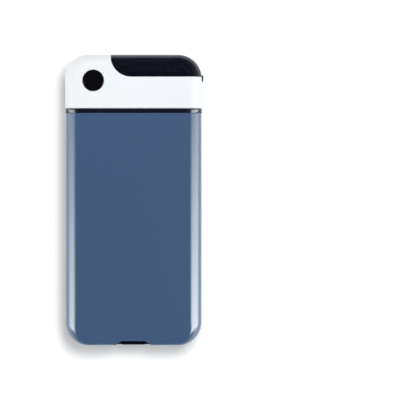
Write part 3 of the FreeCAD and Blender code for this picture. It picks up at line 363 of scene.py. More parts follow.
# White ABS from a fine-stoned tool: hardly any grain, and a soft, wide shine.
dress(moulded("satin_white_abs", "#f0f2f5", "#f6f7f9", 0.34, 1.2 * MM, 0.0005 * MM), "head_cap")

# Black buttons: satin silicone rubber over a hard core, nearly black with a touch of violet.
dress(moulded("black_silicone_rubber", "#06050a", "#0a0810", 0.22, 1.5 * MM, 0.002 * MM, ior=1.41),
      "main_button", "side_button")

# The tray: fine spark grain, drawn a little coarser than the real 0.1 mm so that
# it shows, and a soft sheen.
dress(moulded("grained_grey_polypropylene", "#343841", "#3d424c", 0.5, 0.3 * MM, 0.02 * MM,
              ior=1.49), "inner_tray")

# Glass-filled nylon of the lock: matt, mottled by the fibres at its surface.
dress(moulded("glass_filled_nylon", "#17181b", "#26282c", 0.62, 0.35 * MM, 0.03 * MM),
      "lock_carrier", "lock_lid")

# Moulding epoxy of the chips and the small electric parts: dull black with a fine tooth.
dress(moulded("black_moulding_epoxy", "#101114", "#1b1c20", 0.6, 0.15 * MM, 0.01 * MM),
      "board_chips", "board_header", "display_frame", "buzzer", "hall_sensor",
      "main_plunger", "side_plunger")

# Unfilled nylon of the plug sockets: cream, with a waxy shine.
dress(moulded("natural_nylon", "#d9d3c1", "#e6e0cf", 0.45, 0.4 * MM, 0.01 * MM), "lead_sockets")

# %% [markdown]
# ## Two finishes on one moulding
#
# The back shell and the cover's liner have a spark grain, but the neck of the
# shell and the hinge lugs of the liner, which show between the head and the
# cover, are polished and mirror the softboxes at their ends. The same colour
# runs through both. A mask by place tells them apart: what stands high enough,
# near enough to the hinge, is polished. The polish is deepest where the neck
# bends down into the sides, so a second mask raises its coat there.

# %% Back shell and liner
BEND_START = (25 * MM, 27.5 * MM)  # the coat rises between these, from the middle outwards
BEND_END = (29.9 * MM, 30.7 * MM)  # and falls again between these


def part_polished(name, dark, light, polished, from_height, from_length):
    """Grained moulding that is polished above a height and beyond a length of the box."""
    finish, tree, surface, place = shader(name)
    where = add(tree, "ShaderNodeSeparateXYZ", None, {0: place})
    high = add(tree, "ShaderNodeMath", OVER, {0: where.outputs["Z"], 1: from_height})
    far = add(tree, "ShaderNodeMath", OVER, {0: where.outputs["Y"], 1: from_length})
    neck = add(tree, "ShaderNodeMath", TIMES, {0: high.outputs[0], 1: far.outputs[0]})
    grain = add(tree, "ShaderNodeTexNoise", None,
                {"Vector": place, "Scale": 1 / (0.3 * MM), "Detail": 3.0, "Roughness": 0.6})
    slow = add(tree, "ShaderNodeTexNoise", None,
               {"Vector": place, "Scale": 1 / (20 * MM), "Detail": 2.0})
    tone = add(tree, "ShaderNodeMix", COLOURS,
               {0: slow.outputs["Fac"], 6: linear(dark), 7: linear(light)})
    tone = add(tree, "ShaderNodeMix", COLOURS,
               {0: neck.outputs[0], 6: tone.outputs[2], 7: linear(polished)})
    tree.links.new(tone.outputs[2], surface.inputs["Base Color"])
    rough = add(tree, "ShaderNodeMapRange", None,
                {"Value": slow.outputs["Fac"], "To Min": 0.42, "To Max": 0.55})
    gloss = add(tree, "ShaderNodeMix", NUMBERS,
                {0: neck.outputs[0], 2: rough.outputs[0], 3: 0.12})
    tree.links.new(gloss.outputs[0], surface.inputs["Roughness"])
    depth = add(tree, "ShaderNodeMapRange", None,
                {"Value": neck.outputs[0], "To Min": 0.02 * MM, "To Max": 0.0})
    bump = add(tree, "ShaderNodeBump", None,
               {"Height": grain.outputs["Fac"], "Distance": depth.outputs[0]})
    tree.links.new(bump.outputs[0], surface.inputs["Normal"])
    aside = add(tree, "ShaderNodeMath", {"operation": "ABSOLUTE"}, {0: where.outputs["X"]})
    coat = neck
    for (start, end), before, after in ((BEND_START, 0.1, 1.0), (BEND_END, 1.0, 0.1)):
        bend = add(tree, "ShaderNodeMapRange", None,
                   {"Value": aside.outputs[0], "From Min": start, "From Max": end,
                    "To Min": before, "To Max": after})
        coat = add(tree, "ShaderNodeMath", TIMES, {0: coat.outputs[0], 1: bend.outputs[0]})
    tree.links.new(coat.outputs[0], surface.inputs["Coat Weight"])
    surface.inputs["Coat Roughness"].default_value = 0.04
    surface.inputs["Coat IOR"].default_value = 3.2
    surface.inputs["IOR"].default_value = 1.53
    surface.inputs["Specular IOR Level"].default_value = 0.2
    return finish


# The whole neck of the shell stands above this height. Its grain is drawn at
# 0.3 mm, coarser than the real one, so that it shows.
dress(part_polished("navy_abs_grained_and_polished", "#161b2e", "#1c2136", "#0b0f20",
                    15.05 * MM, -70 * MM), "rear_shell")

# The lugs lie beyond this length, at any height.
dress(part_polished("charcoal_abs_with_polished_lugs", "#22252d", "#2a2d36", "#0b0f20",
                    0.0, 40.8 * MM), "cover_liner")

# %% [markdown]
# ## The cover
#
# Blue-grey ABS under a satin lacquer. A lacquer shrinks as it dries and leaves
# a slight orange peel, 1 to 2 mm across. Fine pearl flakes in it vary the
# colour from point to point by a percent or two. A clear coat on top gives the
# long, clean bands along the sides: it lies thick on the rounded rim, where a
# wet coat pulls back to, and is rubbed down to a satin on the broad face, so
# that the face keeps its own colour when it is seen at a low angle. One mask by
# height does this, because only the broad face reaches the full height. The same
# mask paints the rim a little greener and lighter than the face: a painted tint
# that stands in for the colour of the reflections along the sides.

# %% Cover
RIM_HEIGHT = 27.965 * MM   # the rim's finish ends here
FACE_HEIGHT = 27.995 * MM  # and the broad face's is whole from here on

finish, tree, surface, place = shader("satin_lacquer_with_pearl")
flakes = add(tree, "ShaderNodeTexVoronoi", None, {"Vector": place, "Scale": 1 / (0.12 * MM)})
sparkle = add(tree, "ShaderNodeSeparateColor", None, {0: flakes.outputs["Color"]})
peel = add(tree, "ShaderNodeTexNoise", None,
           {"Vector": place, "Scale": 1 / (1.6 * MM), "Detail": 1.0})
slow = add(tree, "ShaderNodeTexNoise", None,
           {"Vector": place, "Scale": 1 / (45 * MM), "Detail": 1.0})
where = add(tree, "ShaderNodeSeparateXYZ", None, {0: place})
face = add(tree, "ShaderNodeMapRange", None,
           {"Value": where.outputs["Z"], "From Min": RIM_HEIGHT, "From Max": FACE_HEIGHT})
tone = add(tree, "ShaderNodeMix", COLOURS,
           {0: slow.outputs["Fac"], 6: linear("#3f5675"), 7: linear("#445b78")})
tone = add(tree, "ShaderNodeMix", COLOURS,
           {0: sparkle.outputs[0], 6: tone.outputs[2], 7: linear("#4c6383")})
tone = add(tree, "ShaderNodeMix", COLOURS, {0: 0.12, 6: linear("#42597a"), 7: tone.outputs[2]})
# Painted reflection tint: below the rim height the whole colour is #42607f, greener and lighter
# than the face.
tone = add(tree, "ShaderNodeMix", COLOURS,
           {0: face.outputs[0], 6: linear("#42607f"), 7: tone.outputs[2]})
tree.links.new(tone.outputs[2], surface.inputs["Base Color"])
gloss = add(tree, "ShaderNodeMapRange", None,
            {"Value": slow.outputs["Fac"], "To Min": 0.28, "To Max": 0.30})
tree.links.new(gloss.outputs[0], surface.inputs["Roughness"])
bump = add(tree, "ShaderNodeBump", None, {"Height": peel.outputs["Fac"], "Distance": 0.001 * MM})
tree.links.new(bump.outputs[0], surface.inputs["Normal"])
coat = add(tree, "ShaderNodeMapRange", None,
           {"Value": face.outputs[0], "To Min": 1.0, "To Max": 0.15})
tree.links.new(coat.outputs[0], surface.inputs["Coat Weight"])
surface.inputs["IOR"].default_value = 2.0
surface.inputs["Specular IOR Level"].default_value = 0.12
surface.inputs["Specular Tint"].default_value = linear("#e6f8ff")
surface.inputs["Coat Roughness"].default_value = 0.15
surface.inputs["Coat IOR"].default_value = 2.0
dress(finish, "front_cover")

# %% [markdown]
# ## The smoked window
#
# Acrylic, dyed nearly black. It is a real lens here: light goes through it and
# loses most of its strength on the way in and again on the way out, so only the
# lit dots of the display come through, and only faintly.

# %% Smoked window
finish, tree, surface, place = shader("smoked_acrylic")
haze = add(tree, "ShaderNodeTexNoise", None,
           {"Vector": place, "Scale": 1 / (6 * MM), "Detail": 2.0})
gloss = add(tree, "ShaderNodeMapRange", None,
            {"Value": haze.outputs["Fac"], "To Min": 0.02, "To Max": 0.06})
tree.links.new(gloss.outputs[0], surface.inputs["Roughness"])
dye = add(tree, "ShaderNodeMix", COLOURS,
          {0: haze.outputs["Fac"], 6: linear("#3c3c52"), 7: linear("#414157")})
tree.links.new(dye.outputs[2], surface.inputs["Base Color"])
surface.inputs["IOR"].default_value = 1.38
surface.inputs["Specular IOR Level"].default_value = 0.05
surface.inputs["Transmission Weight"].default_value = 0.9
dress(finish, "display_window")

# %% [markdown]
# ## Metals
#
# A bare metal has no colour under its reflection, only a tinted mirror. Rolled
# or turned steel has fine lines along one way, which a stretched noise draws.
# Plating is smoother and a little warmer or colder than the steel below it.

# %% Metals
EVEN = (1.0, 1.0, 1.0)
ALONG_X = (0.05, 1.0, 1.0)
ALONG_Z = (1.0, 1.0, 0.05)


def metal(name, colour, roughness, stretch, line, depth):
    """Metal with fine lines of a given width and depth, stretched along an axis."""
    finish, tree, surface, place = shader(name)
    turned = add(tree, "ShaderNodeMapping", None, {"Vector": place, "Scale": stretch})
    lines = add(tree, "ShaderNodeTexNoise", None,
                {"Vector": turned.outputs[0], "Scale": 1 / line, "Detail": 3.0})
    light = linear(colour)
    dark = (*(value * 0.86 for value in light[:3]), 1.0)
    tone = add(tree, "ShaderNodeMix", COLOURS, {0: lines.outputs["Fac"], 6: dark, 7: light})
    tree.links.new(tone.outputs[2], surface.inputs["Base Color"])
    gloss = add(tree, "ShaderNodeMapRange", None,
                {"Value": lines.outputs["Fac"],
                 "To Min": roughness * 0.8, "To Max": roughness * 1.2})
    tree.links.new(gloss.outputs[0], surface.inputs["Roughness"])
    bump = add(tree, "ShaderNodeBump", None, {"Height": lines.outputs["Fac"], "Distance": depth})
    tree.links.new(bump.outputs[0], surface.inputs["Normal"])
    surface.inputs["Metallic"].default_value = 1.0
    return finish


# Rolled sheet and drawn wire: a grey satin with lines along the roll.
dress(metal("rolled_stainless_steel", "#b9bcc0", 0.35, ALONG_Z, 0.12 * MM, 0.004 * MM),
      "latch_keeper", "motor_shaft")

# The bolt is ground along its travel, so it shines brighter.
dress(metal("ground_steel", "#a9adb3", 0.22, ALONG_X, 0.10 * MM, 0.003 * MM), "lock_bolt")

# The pin is blackened in a hot bath, which keeps the turning lines.
dress(metal("black_oxide_steel", "#26282d", 0.38, ALONG_X, 0.10 * MM, 0.003 * MM), "hinge_pin")

# Nickel plate: smooth, and warmer than steel.
dress(metal("nickel_plate", "#c9c4b8", 0.22, EVEN, 0.5 * MM, 0.002 * MM),
      "lock_motor", "cover_magnet", "main_switch", "side_switch", "usb_socket")

# Brass, cut along the teeth.
dress(metal("machined_brass", "#c9a557", 0.22, ALONG_Z, 0.10 * MM, 0.003 * MM), "drive_pinion")

# Zinc plate with a blue passivation: smooth and cold.
zinc = metal("blue_zinc_plate", "#b4bac2", 0.22, EVEN, 0.35 * MM, 0.003 * MM)
dress(zinc, "shell_screws", "lock_screws", "liner_screws", "keeper_screws", "board_screws",
      "display_screws")

# %% [markdown]
# ## The inside of the head
#
# The boards are glass laminate under solder mask: dark green, with the copper
# tracks a shade lighter and raised by a few hundredths of a millimetre. The
# battery is a pouch of aluminium foil, slightly creased. The leads are PVC, one
# red and one black of each pair, told apart by height or by place. The display
# is dark glass.

# %% Boards
finish, tree, surface, place = shader("green_solder_mask")
tracks = add(tree, "ShaderNodeTexBrick", {"offset": 0.37, "squash": 0.6, "squash_frequency": 3},
             {"Vector": place, "Scale": 1 / (5 * MM), "Mortar Size": 0.03, "Mortar Smooth": 0.3,
              "Brick Width": 0.9, "Row Height": 0.22})
tone = add(tree, "ShaderNodeMix", COLOURS,
           {0: tracks.outputs["Fac"], 6: linear("#12382a"), 7: linear("#1f5a40")})
tree.links.new(tone.outputs[2], surface.inputs["Base Color"])
bump = add(tree, "ShaderNodeBump", None, {"Height": tracks.outputs["Fac"], "Distance": 0.03 * MM})
tree.links.new(bump.outputs[0], surface.inputs["Normal"])
surface.inputs["Roughness"].default_value = 0.32
dress(finish, "main_board", "display_board")

# %% Battery foil
finish, tree, surface, place = shader("aluminium_pouch_foil")
creases_with_painted_shade = add(tree, "ShaderNodeTexVoronoi", {"feature": "SMOOTH_F1"},
              {"Vector": place, "Scale": 1 / (4 * MM)})
# Painted shade: the foil's colour follows the creases' height, darker in the dimples and lighter
# on the ridges.
tone = add(tree, "ShaderNodeMix", COLOURS,
           {0: creases_with_painted_shade.outputs["Distance"], 6: linear("#aeb2b8"), 7: linear("#c6cacf")})
tree.links.new(tone.outputs[2], surface.inputs["Base Color"])
bump = add(tree, "ShaderNodeBump", None,
           {"Height": creases_with_painted_shade.outputs["Distance"], "Distance": 0.08 * MM})
tree.links.new(bump.outputs[0], surface.inputs["Normal"])
surface.inputs["Metallic"].default_value = 1.0
surface.inputs["Roughness"].default_value = 0.34
dress(finish, "battery")


# %% Leads
def lead_pair(name, axis, border, rises=()):
    """PVC insulation, black below a border on an axis and red above it. The border may
    rise along the box: each rise has its two ends and its gain."""
    finish, tree, surface, place = shader(name)
    where = add(tree, "ShaderNodeSeparateXYZ", None, {0: place})
    for start, end, gain in rises:
        rise = add(tree, "ShaderNodeMapRange", None,
                   {"Value": where.outputs["Y"], "From Min": start, "From Max": end,
                    "To Max": gain})
        border = add(tree, "ShaderNodeMath", None, {0: rise.outputs[0], 1: border}).outputs[0]
    upper = add(tree, "ShaderNodeMath", OVER, {0: where.outputs[axis], 1: border})
    tone = add(tree, "ShaderNodeMix", COLOURS,
               {0: upper.outputs[0], 6: linear("#141416"), 7: linear("#a3201c")})
    tree.links.new(tone.outputs[2], surface.inputs["Base Color"])
    scuff = add(tree, "ShaderNodeTexNoise", None, {"Vector": place, "Scale": 1 / (0.8 * MM)})
    gloss = add(tree, "ShaderNodeMapRange", None,
                {"Value": scuff.outputs["Fac"], "To Min": 0.35, "To Max": 0.5})
    tree.links.new(gloss.outputs[0], surface.inputs["Roughness"])
    return finish


# The battery's two leads lie side by side. The motor's lie one above the other
# and climb from the motor to the channel along the tray, in two steps.
CHANNEL_BORDER = 5.1 * MM
CLIMB = ((-61.9 * MM, -59.1 * MM, 4.4 * MM), (-59.1 * MM, -54.3 * MM, 1.0 * MM))

low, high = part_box("battery_leads")
dress(lead_pair("pvc_battery_leads", "Y", (low.y + high.y) / 2), "battery_leads")
dress(lead_pair("pvc_motor_leads", "Z", CHANNEL_BORDER, CLIMB), "motor_leads")

# %% Display glass
dress(moulded("dark_display_glass", "#07090c", "#0a0d11", 0.08, 3 * MM, 0.0005 * MM),
      "display_panel")

# %% [markdown]
# ## Geometry Nodes from a script
#
# What repeats is described once, as a tree with named sizes, and run on a few
# points. One helper starts a tree, one ends it, and one runs it and keeps the
# plain mesh. The points come from the CAD solids, so each new piece stands
# exactly where the plain one stood.


# %% Geometry Nodes helpers
def start_tree(name, sizes):
    """Geometry node group with named sizes. Gives the tree and its inputs."""
    tree = bpy.data.node_groups.new(name, "GeometryNodeTree")
    tree.interface.new_socket("Geometry", in_out="INPUT", socket_type="NodeSocketGeometry")
    for size in sizes:
        tree.interface.new_socket(size, in_out="INPUT", socket_type="NodeSocketFloat")
    tree.interface.new_socket("Material", in_out="INPUT", socket_type="NodeSocketMaterial")
    tree.interface.new_socket("Geometry", in_out="OUTPUT", socket_type="NodeSocketGeometry")
    return tree, add(tree, "NodeGroupInput").outputs


def end_tree(tree, shape, given, turn):
    """Put a shape on each point, turned, and end in plain painted geometry."""
    placed = add(tree, "GeometryNodeInstanceOnPoints", None,
                 {"Points": given["Geometry"], "Instance": shape, "Rotation": turn})
    real = add(tree, "GeometryNodeRealizeInstances", None, {"Geometry": placed.outputs[0]})
    painted = add(tree, "GeometryNodeSetMaterial", None,
                  {"Geometry": real.outputs[0], "Material": given["Material"]})
    tree.links.new(painted.outputs[0], add(tree, "NodeGroupOutput").inputs[0])
    print("tree", tree.name, "has", len(tree.nodes), "nodes")


def grown(tree, points, values, turns=None):
    """Run a tree on points and keep the plain mesh that it makes."""
    seeds = bpy.data.meshes.new("seeds")
    seeds.from_pydata(points, [], [])
    if turns:
        seeds.attributes.new("turn", "FLOAT", "POINT").data.foreach_set("value", turns)
    carrier = bpy.data.objects.new("carrier", seeds)
    scene.collection.objects.link(carrier)
    modifier = carrier.modifiers.new(tree.name, "NODES")
    modifier.node_group = tree
    for item in tree.interface.items_tree:
        if item.in_out == "INPUT" and item.name in values:
            modifier[item.identifier] = values[item.name]
    seen = carrier.evaluated_get(bpy.context.evaluated_depsgraph_get())
    result = bpy.data.meshes.new_from_object(seen)
    bpy.data.objects.remove(carrier)
    return result


# %% Pieces and solids
SHARP_FROM = math.radians(35)


def settled(name, meshes, body, slot, *stands_for):
    """Join meshes into one piece, shade it, and hang it on its body's empty."""
    whole = bmesh.new()
    for mesh in meshes:
        whole.from_mesh(mesh)
    data = bpy.data.meshes.new(name)
    whole.to_mesh(data)
    whole.free()
    data.materials.append(meshes[0].materials[-1])
    data.polygons.foreach_set("material_index", [0] * len(data.polygons))
    data.shade_smooth()
    data.set_sharp_from_angle(angle=SHARP_FROM)
    made = bpy.data.objects.new(name, data)
    scene.collection.objects.link(made)
    box_only.objects.link(made)
    if stands_for:
        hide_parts(*stands_for)
    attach(made, body)
    print(name, "has", len(data.polygons), "faces and rides on", body)
    return made


def solids_of(name):
    """Corner points of each separate solid in a CAD node, from a merged copy of its mesh."""
    copy = bmesh.new()
    copy.from_mesh(nodes[name].data)
    bmesh.ops.remove_doubles(copy, verts=copy.verts, dist=0.001 * MM)
    waiting = set(copy.verts)
    found = []
    for first in copy.verts:
        if first not in waiting:
            continue
        waiting.remove(first)
        reached = [first]
        for vert in reached:
            for edge in vert.link_edges:
                other = edge.other_vert(vert)
                if other in waiting:
                    waiting.remove(other)
                    reached.append(other)
        found.append([vert.co.copy() for vert in reached])
    copy.free()
    return found


print(len(solids_of("shell_screws")), "separate screws close the shell")

# %% [markdown]
# ## Screws
#
# Thread-forming screws for plastic: a pan head with a rounded rim and a cross
# recess, a plain core, and a sharp thread that bites into the boss. The head is
# a short cylinder whose top is drawn in twice, with two tapered bars taken out
# of it. The thread is a spiral with a diamond swept along it, whose outer edge
# is as wide as the solid's shank. Each head is turned to its own angle, because
# no two screws stop alike.

# %% Screw head
RIM_SHARE = 0.55                          # of the head's height
CROWN_STEPS = ((0.30, 0.90), (0.15, 0.84))  # share of the height, and how far it draws in

tree, given = start_tree("cross_recess_screw", ("Head Radius", "Head Height", "Shank Radius",
                                                "Length", "Pitch", "Ridge", "Upside Down"))
rim = add(tree, "ShaderNodeMath", TIMES, {0: given["Head Height"], 1: RIM_SHARE}).outputs[0]
half_rim = add(tree, "ShaderNodeMath", TIMES, {0: rim, 1: 0.5}).outputs[0]
shift = add(tree, "ShaderNodeCombineXYZ", None, {"Z": half_rim})
disc = add(tree, "GeometryNodeMeshCylinder", {"fill_type": "NGON"},
           {"Vertices": 40, "Radius": given["Head Radius"], "Depth": rim})
disc_up = add(tree, "GeometryNodeTransform", None,
              {"Geometry": disc.outputs["Mesh"], "Translation": shift.outputs[0]})
shape, top = disc_up.outputs[0], disc.outputs["Top"]
for share, drawn_in in CROWN_STEPS:
    rise = add(tree, "ShaderNodeMath", TIMES, {0: given["Head Height"], 1: share}).outputs[0]
    step = add(tree, "GeometryNodeExtrudeMesh", FACES,
               {"Mesh": shape, "Selection": top, "Offset Scale": rise})
    narrow = add(tree, "GeometryNodeScaleElements", EACH_FACE,
                 {"Geometry": step.outputs["Mesh"], "Selection": step.outputs["Top"],
                  "Scale": drawn_in})
    shape, top = narrow.outputs[0], step.outputs["Top"]
print("the head takes", len(tree.nodes), "nodes")

# %% Cross recess
BAR_SIZES = (("Head Radius", 1.15), ("Head Radius", 0.30), ("Head Height", 1.3))
BAR_FOOT = 0.55  # how far the bar narrows at its lower end

sides = [add(tree, "ShaderNodeMath", TIMES, {0: given[size], 1: share}).outputs[0]
         for size, share in BAR_SIZES]
bar_size = add(tree, "ShaderNodeCombineXYZ", None, dict(zip("XYZ", sides)))
bar = add(tree, "GeometryNodeMeshCube", None, {"Size": bar_size.outputs[0]})
facing = add(tree, "ShaderNodeSeparateXYZ", None,
             {0: add(tree, "GeometryNodeInputNormal").outputs[0]})
below = add(tree, "FunctionNodeCompare", {"operation": "LESS_THAN"},
            {0: facing.outputs["Z"], 1: -0.5})
taper = add(tree, "GeometryNodeScaleElements", EACH_FACE,
            {"Geometry": bar.outputs["Mesh"], "Selection": below.outputs[0], "Scale": BAR_FOOT})
up = add(tree, "ShaderNodeCombineXYZ", None, {"Z": given["Head Height"]})
bar_up = add(tree, "GeometryNodeTransform", None,
             {"Geometry": taper.outputs[0], "Translation": up.outputs[0]})
bar_across = add(tree, "GeometryNodeTransform", None,
                 {"Geometry": bar_up.outputs[0], "Rotation": (0.0, 0.0, math.pi / 2)})
cut = add(tree, "GeometryNodeMeshBoolean", {"operation": "DIFFERENCE", "solver": "EXACT"},
          {0: shape, 1: bar_up.outputs[0]})
tree.links.new(bar_across.outputs[0], cut.inputs[1])
print("with its recess it takes", len(tree.nodes))

# %% Core, tip and thread
SINK_SHARE = 0.2   # of the head's height: how far the core reaches into the head
TIP_SHARE = 0.45   # of the core's width is left at the tip
TURN_SEED = 7

core_radius = add(tree, "ShaderNodeMath", MINUS,
                  {0: given["Shank Radius"], 1: given["Ridge"]}).outputs[0]
straight = add(tree, "ShaderNodeMath", MINUS,
               {0: given["Length"], 1: given["Shank Radius"]}).outputs[0]
sink = add(tree, "ShaderNodeMath", TIMES, {0: given["Head Height"], 1: SINK_SHARE}).outputs[0]
depth = add(tree, "ShaderNodeMath", {"operation": "ADD"}, {0: straight, 1: sink})
core = add(tree, "GeometryNodeMeshCylinder", {"fill_type": "NGON"},
           {"Vertices": 24, "Radius": core_radius, "Depth": depth.outputs[0]})
offset = add(tree, "ShaderNodeMath", MINUS, {0: sink, 1: straight})
middle = add(tree, "ShaderNodeMath", TIMES, {0: offset.outputs[0], 1: 0.5})
down = add(tree, "ShaderNodeCombineXYZ", None, {"Z": middle.outputs[0]})
core_down = add(tree, "GeometryNodeTransform", None,
                {"Geometry": core.outputs["Mesh"], "Translation": down.outputs[0]})
tip = add(tree, "GeometryNodeExtrudeMesh", FACES,
          {"Mesh": core_down.outputs[0], "Selection": core.outputs["Bottom"],
           "Offset Scale": given["Shank Radius"]})
point = add(tree, "GeometryNodeScaleElements", EACH_FACE,
            {"Geometry": tip.outputs["Mesh"], "Selection": tip.outputs["Top"],
             "Scale": TIP_SHARE})

thread_run = add(tree, "ShaderNodeMath", MINUS, {0: straight, 1: given["Pitch"]}).outputs[0]
rounds = add(tree, "ShaderNodeMath", {"operation": "DIVIDE"}, {0: thread_run, 1: given["Pitch"]})
spiral = add(tree, "GeometryNodeCurveSpiral", None,
             {"Resolution": 20, "Rotations": rounds.outputs[0], "Start Radius": core_radius,
              "End Radius": core_radius, "Height": thread_run})
lower = add(tree, "ShaderNodeMath", TIMES, {0: straight, 1: -1.0})
low_end = add(tree, "ShaderNodeCombineXYZ", None, {"Z": lower.outputs[0]})
sunk = add(tree, "GeometryNodeTransform", None,
           {"Geometry": spiral.outputs[0], "Translation": low_end.outputs[0]})
level = add(tree, "GeometryNodeSetCurveNormal", {"mode": "Z_UP"}, {"Curve": sunk.outputs[0]})
diamond = add(tree, "GeometryNodeCurvePrimitiveCircle", None,
              {"Resolution": 4, "Radius": given["Ridge"]})
thread = add(tree, "GeometryNodeCurveToMesh", None,
             {"Curve": level.outputs[0], "Profile Curve": diamond.outputs[0],
              "Fill Caps": True})
screw = add(tree, "GeometryNodeJoinGeometry", None, {0: cut.outputs[0]})
tree.links.new(point.outputs[0], screw.inputs[0])
tree.links.new(thread.outputs[0], screw.inputs[0])
spin = add(tree, "FunctionNodeRandomValue", NUMBERS, {2: 0.0, 3: math.pi / 2, 8: TURN_SEED})
turn = add(tree, "ShaderNodeCombineXYZ", None, {"X": given["Upside Down"], "Z": spin.outputs[1]})
end_tree(tree, screw.outputs[0], given, turn.outputs[0])
screw_tree = tree

# %% [markdown]
# Each plain screw is measured: its middle, which end its head is on, and the
# sizes of head and shank. Screws of one size in one node are grown together.

# %% Screws in place
THREAD_PITCH = 0.8 * MM
THREAD_RIDGE = 0.18 * MM
HAIR = 0.01 * MM
SCREWS = {"shell_screws": "case", "lock_screws": "case", "board_screws": "case",
          "display_screws": "case", "liner_screws": "cover", "keeper_screws": "cover"}


def screw_sizes(points):
    """Place under the head of an upright screw, and its sizes."""
    middle = [(min(point[axis] for point in points) + max(point[axis] for point in points)) / 2
              for axis in (0, 1)]
    out = [math.hypot(point.x - middle[0], point.y - middle[1]) for point in points]
    head = [point.z for point, far in zip(points, out) if far > max(out) - HAIR]
    shank = [far for point, far in zip(points, out)
             if not min(head) - HAIR < point.z < max(head) + HAIR]
    tip_up = max(point.z for point in points) > max(head) + HAIR
    tip = max(point.z for point in points) if tip_up else min(point.z for point in points)
    seat = max(head) if tip_up else min(head)
    sizes = (max(out), max(head) - min(head), max(shank), abs(tip - seat),
             math.pi if tip_up else 0.0)
    return (*middle, seat), tuple(round(size, 6) for size in sizes)


for name, body in SCREWS.items():
    alike = {}
    for points in solids_of(name):
        seat, sizes = screw_sizes(points)
        alike.setdefault(sizes, []).append(seat)
    meshes = []
    for sizes, seats in alike.items():
        values = dict(zip(("Head Radius", "Head Height", "Shank Radius", "Length",
                           "Upside Down"), sizes))
        values.update({"Pitch": THREAD_PITCH, "Ridge": THREAD_RIDGE, "Material": zinc})
        meshes.append(grown(screw_tree, seats, values))
    settled("threaded_" + name, meshes, body, "screw_steel", name)

# %% [markdown]
# ## The display's dots
#
# A dot-matrix display shows a countdown as squares, with a padlock and a
# battery beside it. The patterns are rows of marks, one mark to a dot. The tree
# makes one small square with rounded corners and puts it on every marked dot. The
# dots carry a faint painted glow that stands in for the light that would show them
# through the smoked window; it is so faint that the window almost hides it.

# %% Dots
DOT_PITCH = 0.44 * MM
DOT_WIDTH = 0.36 * MM
DOT_CORNER = 0.06 * MM
DOT_RISE = 0.02 * MM
DOT_ROWS = 7
GLYPHS = {
    "0": (".###.", "#...#", "#..##", "#.#.#", "##..#", "#...#", ".###."),
    ":": (".", ".", "#", ".", "#", ".", "."),
    "padlock": (".###.", "#...#", "#...#", "#####", "#####", "#####", "#####"),
    "battery": ("#########.", "#.......#.", "#.##.##.##", "#.##.##.##", "#.##.##.##",
                "#.......#.", "#########."),
}
marks = [""] * DOT_ROWS
for sign in ("0", "0", ":", "0", "0", ":", "0", "0", "padlock", "battery"):
    gap = "." if sign in "0:" else ".."
    marks = [row + gap + part if row else part for row, part in zip(marks, GLYPHS[sign])]
low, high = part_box("display_panel")
start = Vector(((low.x + high.x - (len(marks[0]) - 1) * DOT_PITCH) / 2,
                (low.y + high.y + (DOT_ROWS - 1) * DOT_PITCH) / 2, high.z))
dots = [start + Vector((column * DOT_PITCH, -row * DOT_PITCH, 0))
        for row, line in enumerate(marks) for column, mark in enumerate(line) if mark == "#"]
print(len(dots), "lit dots on a face of", len(marks[0]), "by", DOT_ROWS)

# %% Dot tree
tree, given = start_tree("dot_matrix", ("Width", "Corner", "Rise"))
square = add(tree, "GeometryNodeCurvePrimitiveQuadrilateral", None,
             {"Width": given["Width"], "Height": given["Width"]})
soft = add(tree, "GeometryNodeFilletCurve", {"mode": "POLY"},
           {"Curve": square.outputs[0], "Radius": given["Corner"], "Count": 1})
flat = add(tree, "GeometryNodeFillCurve", {"mode": "NGONS"}, {"Curve": soft.outputs[0]})
raised = add(tree, "GeometryNodeExtrudeMesh", FACES,
             {"Mesh": flat.outputs[0], "Offset Scale": given["Rise"]})
under = add(tree, "GeometryNodeFlipFaces", None, {"Mesh": flat.outputs[0]})
dot = add(tree, "GeometryNodeJoinGeometry", None, {0: raised.outputs[0]})
tree.links.new(under.outputs[0], dot.inputs[0])
closed = add(tree, "GeometryNodeMergeByDistance", None,
             {"Geometry": dot.outputs[0], "Distance": 0.0005 * MM})
end_tree(tree, closed.outputs[0], given, (0.0, 0.0, 0.0))

# %% Dots with a painted glow
finish, painted_glow_tree, surface, place = shader("display_dots_painted_glow")
spread = add(painted_glow_tree, "ShaderNodeTexNoise", None, {"Vector": place, "Scale": 1 / (4 * MM)})
glow = add(painted_glow_tree, "ShaderNodeMix", COLOURS,
           {0: spread.outputs["Fac"], 6: linear("#a9c4e8"), 7: linear("#c3d6f0")})
painted_glow_tree.links.new(glow.outputs[2], surface.inputs["Base Color"])
painted_glow_tree.links.new(glow.outputs[2], surface.inputs["Emission Color"])
# Painted glow: the dots emit a faint light of their own, standing in for the light that shows them
# behind the smoked window.
surface.inputs["Emission Strength"].default_value = 0.25
surface.inputs["Roughness"].default_value = 0.4
dot_values = {"Width": DOT_WIDTH, "Corner": DOT_CORNER, "Rise": DOT_RISE, "Material": finish}
settled("display_dots", [grown(tree, dots, dot_values)], "case", "panel_glass")

# %% [markdown]
# ## Legs of the chips
#
# The two larger chips are soldered by gull-wing legs: out of the side, down and
# out again. A Bezier segment has that bend, and a flat strip is swept along it.
# The processor has legs on four sides, the driver on two.

# %% Leg tree
HANDLES = (0.7, 0.3)  # where the bend's two handles stand, as shares of the reach

